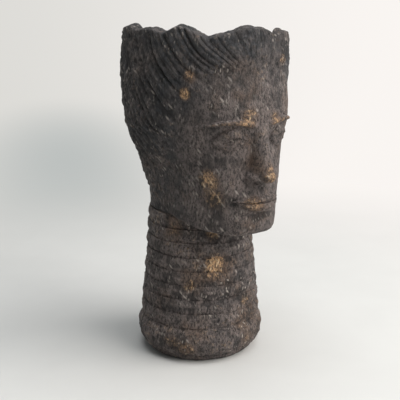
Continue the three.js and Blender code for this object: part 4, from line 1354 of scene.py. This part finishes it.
class HEADVASE_OT_lips(bpy.types.Operator):
    """Makes the closed lips, the upper one with a bow at its middle."""

    bl_idname = "headvase.lips"
    bl_label = "Lips"

    STEP = 0.5 * MM
    CUT = 0.05
    LINE_SAG = 1.6 * MM
    LINE_BOW = 0.5 * MM
    END_HEIGHT = 1.2 * MM
    UPPER_LIFT, UPPER_SHARE = 5.6 * MM, 0.85
    LOWER_LIFT, LOWER_WIDTH_SHARE = 5.8 * MM, 0.9
    TUCK_DEPTH = 3.4 * MM
    INNER_SLOPE = 9
    END_SLOPE = 90 * MM

    def execute(self, context):
        sizes = context.scene.vase_sizes
        form, clay = HeadForm(sizes), Clay(sizes)
        width, height = sizes.mouth_width, sizes.lip_height

        def share(x, breadth):
            return (x + breadth / 2) / breadth

        def mouth_line(x):
            along = share(x, width)
            return form.mouth_z - self.LINE_SAG * arch(along) + self.LINE_BOW * arch(along) ** 10

        def ended(rolled, along, fillet):
            ends = self.END_SLOPE * past_ends(along, -0.01, 1.01)
            return settled(rolled - ends, fillet, sink=0.5 * MM)

        def upper(x, z):
            along, over = share(x, width), z - mouth_line(x)
            peak = arch(along) ** 0.8 - 0.2 * arch(along) ** 14
            swell = blunt_arch(along, self.CUT)
            across = over / (self.END_HEIGHT + height * self.UPPER_SHARE * peak)
            rolled = self.UPPER_LIFT * swell * (1 - np.clip(across, 0, 2) ** 1.8)
            tuck = self.TUCK_DEPTH * swell * np.exp(-((np.maximum(across, 0) / 0.2) ** 1.4))
            rolled = np.where(across < 0, rolled + over * self.INNER_SLOPE, rolled) - tuck
            return ended(rolled, along, fillet=0.7 * MM)

        def lower(x, z):
            along, under = share(x, width * self.LOWER_WIDTH_SHARE), mouth_line(x) - z
            swell = blunt_arch(along, self.CUT)
            across = under / (self.END_HEIGHT + height * arch(along) ** 0.9)
            rolled = self.LOWER_LIFT * swell * (1 - (np.clip(across, 0, 2) - 0.36) ** 2 / 0.42)
            rolled = np.where(across < 0, rolled + under * self.INNER_SLOPE, rolled)
            return ended(rolled, along, fillet=0.9 * MM)

        span = (-0.56 * width, 0.56 * width,
                form.mouth_z - 1.8 * height, form.mouth_z + 1.7 * height)
        feature_piece("upper_lip", form, clay, span, upper, rubbed=0.15, step=self.STEP)
        feature_piece("lower_lip", form, clay, span, lower, rubbed=0.2, step=self.STEP)
        return {"FINISHED"}


# Hair


class HEADVASE_OT_hair(bpy.types.Operator):
    """Lays the locks of hair from the hairline back to the rim, and rakes strands in them."""

    bl_idname = "headvase.hair"
    bl_label = "Hair"

    COLUMNS = 48
    STEP = 0.9 * MM
    FEWEST_ROWS = 30
    LEAN = 1.3

    # A lock's ends: how deep its start is buried, how long it takes to come out at the front and at
    # the nape, how thick it is at each end, and how its tip rises and rounds off.
    BURIED = 0.7 * MM
    FEATHER, NAPE_FEATHER = 18 * MM, 32 * MM
    START_SHARE, TIP_SHARE = 0.35, 0.75
    TIP_RISE = 1 * MM
    TIP_ROUNDING = 3 * MM
    BACK_DEPTH = 2 * MM

    # The lock's roll over the rim: its rows, how much of the wall it covers, its swell, how far its
    # end goes down into the wall, and the seams across it.
    ROLL_ROWS = 9
    ROLL_SHARE = 0.94
    ROLL_RISE, ROLL_SWELL = 0.3 * MM, 1.1 * MM
    ROLL_DROP = 3.2 * MM
    ROLL_BACK_DEPTH = 2.5 * MM
    SEAM_DEPTH, SEAM_REACH = 0.7 * MM, 1.4 * MM

    # The comb's grooves: how deep they are in the first locks and the later ones, and by what share
    # of the way to the tip they and the seams are as deep as they get.
    RAKED_SHARES, RAKED_LOCKS = (0.55, 0.85), (1, 4)
    GROOVE_START, SEAM_START = (0.05, 0.4), (0, 0.2)
    WANDER = 0.035

    # Its fine scratches: how far apart they are and how deep they may add up, where they lie, how
    # they bow, how long, broad and deep each is, and where on the head and on a lock they set in.
    SCRATCH_PITCH, SCRATCHED_MOST = 2.6 * MM, 1.2
    SCRATCH_PLACES, SCRATCH_BOWS = (-0.05, 1.05), (-0.09, 0.09)
    SCRATCH_LENGTHS, SCRATCH_BREADTHS, SCRATCH_DEPTHS = (0.12, 0.5), (0.4, 0.8), (0.3, 1)
    FIRST_SCRATCHED, SCRATCHED_LOCKS = 0.2, (0.5, 3.5)
    SCRATCHED_FROM = (2 * MM, 20 * MM)

    # How ragged the clay is from the front locks to the back ones, and which lie at the nape.
    RAGGED_LUMPS, RAGGED_ROUGHNESS, RAGGED_LOCKS = 1.4, (1.2, 2.6), (3, 7)
    NAPE_LOCKS = (6, 9)

    def execute(self, context):
        sizes = context.scene.vase_sizes
        form, clay = HeadForm(sizes), Clay(sizes)
        for side_name, side in SIDES.items():
            for k in range(LOCKS_A_SIDE):
                self.lock(form, clay, f"hair_lock_{side_name}_{k + 1:02d}", side, k)
        return {"FINISHED"}

    def edge(self, form, side, k, along):
        """Angle and level on the edge between locks k - 1 and k, at shares of its length."""
        start_angle = side * math.radians(HAIRLINE_ANGLES[k])
        start_z = lerp(form.chin_z, form.rim_z, HAIRLINE_SHARES[k])
        start_level = float(form.level_at(np.array(start_angle), np.array(start_z)))
        end_angle = side * math.pi * k / LOCKS_A_SIDE
        swept = 1 - (1 - along) ** self.LEAN
        return lerp(start_angle, end_angle, swept), lerp(start_level, RIM_LEVEL, along)

    def thickness(self, form, side, k, along):
        """How thick the hair is at the edge between locks k - 1 and k, before it is raked."""
        start, tip = form.surface(*self.edge(form, side, k, np.array((0.0, 1.0))))
        length = np.linalg.norm(tip - start)
        swollen = lerp(self.START_SHARE, 1, smoothstep(along * length, 0, form.sizes.lock_swell))
        return form.sizes.lock_thickness * swollen * lerp(1, self.TIP_SHARE, along**4)

    def strands(self, form, side, k, along, across, wander):
        """The thickness of a lock of three rounded strands, and the depth of its hollows."""
        sizes = form.sizes
        near, far = (self.thickness(form, side, i, along) for i in (k, k + 1))
        body = lerp(near, far, across)
        ridge = body * lerp(SHOULDER_SHARE, 1, arch(across))
        seams = (body * SHOULDER_SHARE - sizes.lock_edge) * smoothstep(along, *self.SEAM_START)
        raked = sizes.groove_depth * lerp(*self.RAKED_SHARES, smoothstep(k, *self.RAKED_LOCKS))
        raked = raked * smoothstep(along, *self.GROOVE_START)
        shift = side * GROOVE_SHIFT_SHARE + wander
        places = (0, *(share + shift for share in GROOVE_PLACE_SHARES[k]), 1)
        depths = (seams * SEAM_SHARES[k], *(raked * share for share in GROOVE_DEPTH_SHARES[k]),
                  seams * SEAM_SHARES[k + 1])
        hollow = 0
        for i in range(3):
            share = (across - places[i]) / (places[i + 1] - places[i])
            inside = (share >= 0) & ((share < 1) | (i == 2))
            strand = lerp(depths[i], depths[i + 1], share) * (1 - arch(share) ** 0.8)
            hollow = hollow + np.where(inside, strand, 0)
        return ridge, hollow

    def scratches(self, draw, width, along, across):
        """Fine scratches of the comb down a lock, as shares of the rake's depth."""
        depth = 0
        for _ in range(round(float(width.mean()) / self.SCRATCH_PITCH)):
            middle, bow = draw.uniform(*self.SCRATCH_PLACES), draw.uniform(*self.SCRATCH_BOWS)
            length = draw.uniform(*self.SCRATCH_LENGTHS)
            start = draw.uniform(0, 1 - length)
            share = np.clip((along - start) / length, 0, 1)
            away = (across - middle - bow * share**2) * width
            line = fade(away, draw.uniform(*self.SCRATCH_BREADTHS) * MM)
            depth = depth + draw.uniform(*self.SCRATCH_DEPTHS) * arch(share) ** 0.5 * line
        return np.minimum(depth, self.SCRATCHED_MOST)

    def lock(self, form, clay, name, side, k):
        """Makes one lock: a strip laid on the wall between its two edges, raked and ragged."""
        sizes = form.sizes
        draw = np.random.default_rng(sizes.seed * 1000 + k * 2 + (side > 0))
        probe = np.linspace(0, 1, 60)
        path = form.surface(*np.mean([self.edge(form, side, i, probe) for i in (k, k + 1)], axis=0))
        length = np.linalg.norm(np.diff(path, axis=0), axis=1).sum()
        along = np.linspace(0, 1, max(self.FEWEST_ROWS, int(length / self.STEP)))[:, None]
        across = np.concatenate([[0], np.linspace(0.004, 0.996, self.COLUMNS - 2), [1]])[None, :]
        near, far = (self.edge(form, side, i, along) for i in (k, k + 1))
        width = np.linalg.norm(form.surface(*near) - form.surface(*far), axis=-1)
        tip = self.TIP_RISE / sizes.over_rim * (1 - RIM_LEVEL)
        tip = tip * 4 * across * (1 - across) * along**3
        angle = lerp(near[0], far[0], across)
        level = lerp(near[1], far[1], across) + tip
        base, normal = form.surface(angle, level), form.normal(angle, level)

        wander = self.WANDER * np.sin(along * draw.uniform(3, 8) + draw.uniform(0, 6))
        ridge, hollow = self.strands(form, side, k, along, across, wander)
        scratched = self.scratches(draw, width, along, across)
        later = smoothstep(k + across, *self.SCRATCHED_LOCKS)
        scratched = scratched * lerp(self.FIRST_SCRATCHED, 1, later)
        scratched = scratched * smoothstep(along * length, *self.SCRATCHED_FROM)
        feather = lerp(self.FEATHER, self.NAPE_FEATHER, smoothstep(k, *self.NAPE_LOCKS))
        feather = smoothstep(along * length, 0, feather)
        lift = lerp(-self.BURIED, ridge - hollow - scratched * sizes.rake_depth, feather)
        rough = lerp(*self.RAGGED_ROUGHNESS, smoothstep(k, *self.RAGGED_LOCKS))
        ragged = clay.relief(base, lumps=self.RAGGED_LUMPS, rough=rough)
        relief = lerp(clay.relief(base, rough=0.9), ragged, feather)
        rounding = np.clip((along * length - length) / self.TIP_ROUNDING + 1, 0, 1)
        lift = lift * np.sqrt(1 - 0.999 * rounding**2)
        top = base + normal * (lift + relief)[..., None]

        crest, crest_relief = self.roll(form, clay, k, angle[-1:], level[-1:], across, width[-1])
        # Painted shade: the hair's grooves and scratches are darkened in the colour by how deep
        # they sink.
        sunk = hollow / sizes.groove_depth + 0.5 * scratched
        shade = relief / sizes.grit + 0.2 - 0.5 * sunk * feather
        back = -normal * (np.maximum(lift, 0) + self.BACK_DEPTH)[..., None]
        crest_back = np.broadcast_to(np.array((0, 0, -self.ROLL_BACK_DEPTH)), crest.shape)
        surface, depth_in = np.concatenate([top, crest]), np.concatenate([back, crest_back])
        shade = np.concatenate([shade, crest_relief / sizes.grit])
        self.close(name, side, form, clay, surface, depth_in, shade)

    def roll(self, form, clay, k, angle, level, across, width):
        """Rows of points in which a lock goes on over the rim, and the clay's relief there."""
        roll = np.linspace(0, 1, self.ROLL_ROWS + 1)[1:, None]
        inward = form.normal(angle, level) * (1, 1, 0)
        inward /= np.linalg.norm(inward, axis=-1, keepdims=True)
        reach = form.sizes.wall * self.ROLL_SHARE * roll
        crest = form.surface(angle, level) - inward * reach[..., None]
        seam = fade(np.minimum(across, 1 - across) * width, self.SEAM_REACH) * (1 - roll)
        seam = seam * lerp(SEAM_SHARES[k], SEAM_SHARES[k + 1], across)
        crest[..., 2] += self.ROLL_RISE + self.ROLL_SWELL * np.sin(np.pi * roll)
        crest[..., 2] -= self.ROLL_DROP * smoothstep(roll, 0.8, 1.0) + self.SEAM_DEPTH * seam
        relief = clay.relief(crest)
        crest[..., 2] += relief
        return crest, relief

    def close(self, name, side, form, clay, surface, depth_in, shade):
        """Backs the lock with strips between its lowered long edges, and makes the piece."""
        rows, columns = surface.shape[:2]
        count = rows * columns
        edges = surface[:, [0, -1]] + depth_in[:, [0, -1]]
        points = np.concatenate([surface.reshape(-1, 3), edges.reshape(-1, 3)])
        row = np.arange(rows - 1)
        low_left, low_right = count + 2 * row, count + 2 * row + 1
        left, right = row * columns, row * columns + columns - 1
        start_face = [*range(columns - 1, -1, -1), count, count + 1]
        end_face = [*range(count - columns, count), count + 2 * rows - 1, count + 2 * rows - 2]
        faces = [
            grid_faces(rows, columns),
            np.stack([left, left + columns, low_left + 2, low_left], axis=1),
            np.stack([right, low_right, low_right + 2, right + columns], axis=1),
            np.stack([low_left, low_left + 2, low_right + 2, low_right], axis=1),
            np.array([start_face]),
            np.array([end_face]),
        ]
        if side < 0:
            faces = [group[:, ::-1] for group in faces]
        relief, worn = (np.concatenate([values.ravel(), values[:, [0, -1]].ravel()])
                        for values in (shade, clay.worn(surface)))
        make_piece(name, points, faces, hair_material(), [name], relief, worn,
                   form.tone_and_shade(points))


# Studio


class HEADVASE_OT_studio(bpy.types.Operator):
    """Sets the pale floor, the soft lamps, the room's light and the camera."""

    bl_idname = "headvase.studio"
    bl_label = "Studio"

    SWEEP_RINGS, SWEEP_COLUMNS = 48, 96
    SWEEP_RADIUS = 7.0
    SWEEP_FLAT = 3.0
    SWEEP_RISE = 2.6
    SWEEP_SINK = 0.05 * MM
    SWEEP_CLOUD = 0.965
    SWEEP_SPECULAR = 0.05

    # Where the sweep far off turns from its painted shaded side to its painted lit side, and the
    # painted shadow on it.
    BRIGHT_TURN = math.radians(55)
    SHADE_PLACE = (0.31, 0.96, 0)
    SHADE_TURN = math.radians(-25)
    SHADE_REACH = (0.32, 1.2, 1)
    SHADE_STRENGTH = 0.66

    # Each lamp's turn from the face's front, height as an angle, distance, side and colour.
    KEY_LAMP = (math.radians(34), math.radians(34), 1.9, 1.9, (1, 0.965, 0.935))
    TOP_LAMP = (math.radians(10), math.radians(86), 1.6, 1.3, (0.96, 0.985, 1))
    ROOM_LIGHT = (0.87, 0.95, 1.0, 1)

    def execute(self, context):
        scene = context.scene
        light, colours = scene.studio_light, scene.clay_colours
        self.sweep(scene, colours)
        self.room(scene, colours, light)
        self.lamp(scene, "key_lamp", light.key, *self.KEY_LAMP)
        self.lamp(scene, "top_lamp", light.top, *self.TOP_LAMP)
        self.camera(scene, light)
        scene.view_settings.view_transform = "Standard"
        return {"FINISHED"}

    def sweep(self, scene, colours):
        """A wide round floor that turns up softly a few metres away."""
        rings, columns = self.SWEEP_RINGS, self.SWEEP_COLUMNS
        angle = np.linspace(0, 2 * np.pi, columns, endpoint=False)[None, :]
        radius = (self.SWEEP_RADIUS * np.linspace(0.01, 1, rings) ** 2)[:, None]
        height = self.SWEEP_RISE * smoothstep(radius, self.SWEEP_FLAT, 1.2 * self.SWEEP_RADIUS)
        height = height - self.SWEEP_SINK + 0 * angle
        points = np.stack([radius * np.cos(angle), radius * np.sin(angle), height], axis=-1)
        mesh = bpy.data.meshes.new("floor")
        faces = grid_faces(rings, columns, wrap=True).tolist() + [list(range(columns))]
        mesh.from_pydata(points.reshape(-1, 3).tolist(), [], faces)
        mesh.shade_smooth()
        mesh.materials.append(self.sweep_material(colours))
        floor = bpy.data.objects.new("floor", mesh)
        scene.collection.objects.link(floor)

    def sweep_material(self, colours):
        """A pale matt floor that runs out far off into colour seen only by the camera, painted
        lighter on one side and with a painted shadow behind the vase.
        """
        material = bpy.data.materials.new("pale_sweep")
        material.use_nodes = True
        tree = material.node_tree
        shader = tree.nodes["Principled BSDF"]
        place = tree.nodes.new("ShaderNodeTexCoord").outputs["Object"]
        cloud = ranged(tree, noise_node(tree, place, scale=9, detail=3), 0.3, 0.7)
        tint = tuple(self.SWEEP_CLOUD * value for value in colours.floor)
        tree.links.new(mixed(tree, cloud, tint, colours.floor), shader.inputs["Base Color"])
        shader.inputs["Roughness"].default_value = 0.9
        shader.inputs["Specular IOR Level"].default_value = self.SWEEP_SPECULAR

        away = vector_node(tree, "LENGTH", place)
        bright_side = (math.sin(self.BRIGHT_TURN), -math.cos(self.BRIGHT_TURN), 0)
        across = vector_node(tree, "DOT_PRODUCT", place, bright_side)
        to_right = ranged(tree, math_node(tree, "DIVIDE", across, away), -0.35, 0.3)
        colour = mixed(tree, to_right, colours.room_shaded_side, colours.room_lit_side)
        in_shade = placed(tree, place, self.SHADE_REACH, (0, 0, self.SHADE_TURN), self.SHADE_PLACE)
        shade = vector_node(tree, "LENGTH", in_shade)
        shade = ranged(tree, shade, 0, 1.1, self.SHADE_STRENGTH, 0)
        colour = mixed(tree, shade, colour, colours.room_shade)

        glow = tree.nodes.new("ShaderNodeEmission")
        tree.links.new(colour, glow.inputs["Color"])
        far = ranged(tree, away, 0.2, 0.8)
        mix = tree.nodes.new("ShaderNodeMixShader")
        tree.links.new(math_node(tree, "MULTIPLY", far, seen_directly(tree)), mix.inputs["Fac"])
        tree.links.new(shader.outputs["BSDF"], mix.inputs[1])
        tree.links.new(glow.outputs["Emission"], mix.inputs[2])
        tree.links.new(mix.outputs["Shader"], tree.nodes["Material Output"].inputs["Surface"])
        return material

    def room(self, scene, colours, light):
        """The room's own faint light, and the plain colour seen past the sweep."""
        world = scene.world or bpy.data.worlds.new("room")
        scene.world = world
        world.use_nodes = True
        tree = world.node_tree
        back = tree.nodes["Background"]
        back.inputs["Color"].default_value = self.ROOM_LIGHT
        back.inputs["Strength"].default_value = light.fill
        seen = tree.nodes.new("ShaderNodeBackground")
        middle = lerp(Vector(colours.room_shaded_side), Vector(colours.room_lit_side), 0.5)
        seen.inputs["Color"].default_value = (*middle, 1)
        seen.inputs["Strength"].default_value = 1
        mix = tree.nodes.new("ShaderNodeMixShader")
        tree.links.new(seen_directly(tree), mix.inputs["Fac"])
        tree.links.new(back.outputs["Background"], mix.inputs[1])
        tree.links.new(seen.outputs["Background"], mix.inputs[2])
        tree.links.new(mix.outputs["Shader"], tree.nodes["World Output"].inputs["Surface"])

    def lamp(self, scene, name, power, turn, height, away, size, colour):
        """A square soft lamp aimed at the vase's middle, turned away from the face's front."""
        target = Vector((0, 0, CAD_BOX[1].z / 2))
        level, rise = math.cos(height), math.sin(height)
        back = Vector((math.sin(turn) * level, -math.cos(turn) * level, rise))
        data = bpy.data.lights.new(name, "AREA")
        data.energy, data.size, data.color = power, size, colour
        lamp = bpy.data.objects.new(name, data)
        lamp.location = target + back * away
        lamp.rotation_euler = back.to_track_quat("Z", "Y").to_euler()
        scene.collection.objects.link(lamp)

    def camera(self, scene, light):
        """The camera, in front of the vase and somewhat to the figure's right."""
        data = bpy.data.cameras.new("camera")
        data.lens, data.sensor_width = light.lens, 36
        camera = bpy.data.objects.new("camera", data)
        turn, away = light.camera_turn, light.camera_away
        camera.location = (math.sin(turn) * away, -math.cos(turn) * away, light.camera_height)
        camera.rotation_euler = (math.pi / 2 - light.camera_tilt, 0, turn)
        scene.collection.objects.link(camera)
        scene.camera = camera


# Panel and registration


OPERATORS = (HEADVASE_OT_studio, HEADVASE_OT_foot, HEADVASE_OT_neck, HEADVASE_OT_head,
             HEADVASE_OT_nose, HEADVASE_OT_eyes, HEADVASE_OT_brows, HEADVASE_OT_lips,
             HEADVASE_OT_hair)
SETTINGS = {"vase_sizes": VaseSizes, "clay_colours": ClayColours, "studio_light": StudioLight}


class HEADVASE_PT_panel(bpy.types.Panel):
    """Lists the vase's pieces and settings."""

    bl_idname = "HEADVASE_PT_panel"
    bl_label = "Head Vase"
    bl_space_type = "VIEW_3D"
    bl_region_type = "UI"
    bl_category = "Head Vase"

    def draw(self, context):
        for operator in OPERATORS:
            self.layout.operator(operator.bl_idname)
        for name, group in SETTINGS.items():
            box = self.layout.box()
            for key in group.__annotations__:
                box.prop(getattr(context.scene, name), key)


CLASSES = (*SETTINGS.values(), *OPERATORS, HEADVASE_PT_panel)


def register():
    for cls in CLASSES:
        bpy.utils.register_class(cls)
    for name, group in SETTINGS.items():
        setattr(bpy.types.Scene, name, PointerProperty(type=group))


def unregister():
    for name in SETTINGS:
        delattr(bpy.types.Scene, name)
    for cls in reversed(CLASSES):
        bpy.utils.unregister_class(cls)


def main():
    register()
    bpy.ops.headvase.studio()
    bpy.ops.headvase.foot()
    bpy.ops.headvase.neck()
    bpy.ops.headvase.head()
    bpy.ops.headvase.nose()
    bpy.ops.headvase.eyes()
    bpy.ops.headvase.brows()
    bpy.ops.headvase.lips()
    bpy.ops.headvase.hair()


if __name__ == "__main__":
    main()
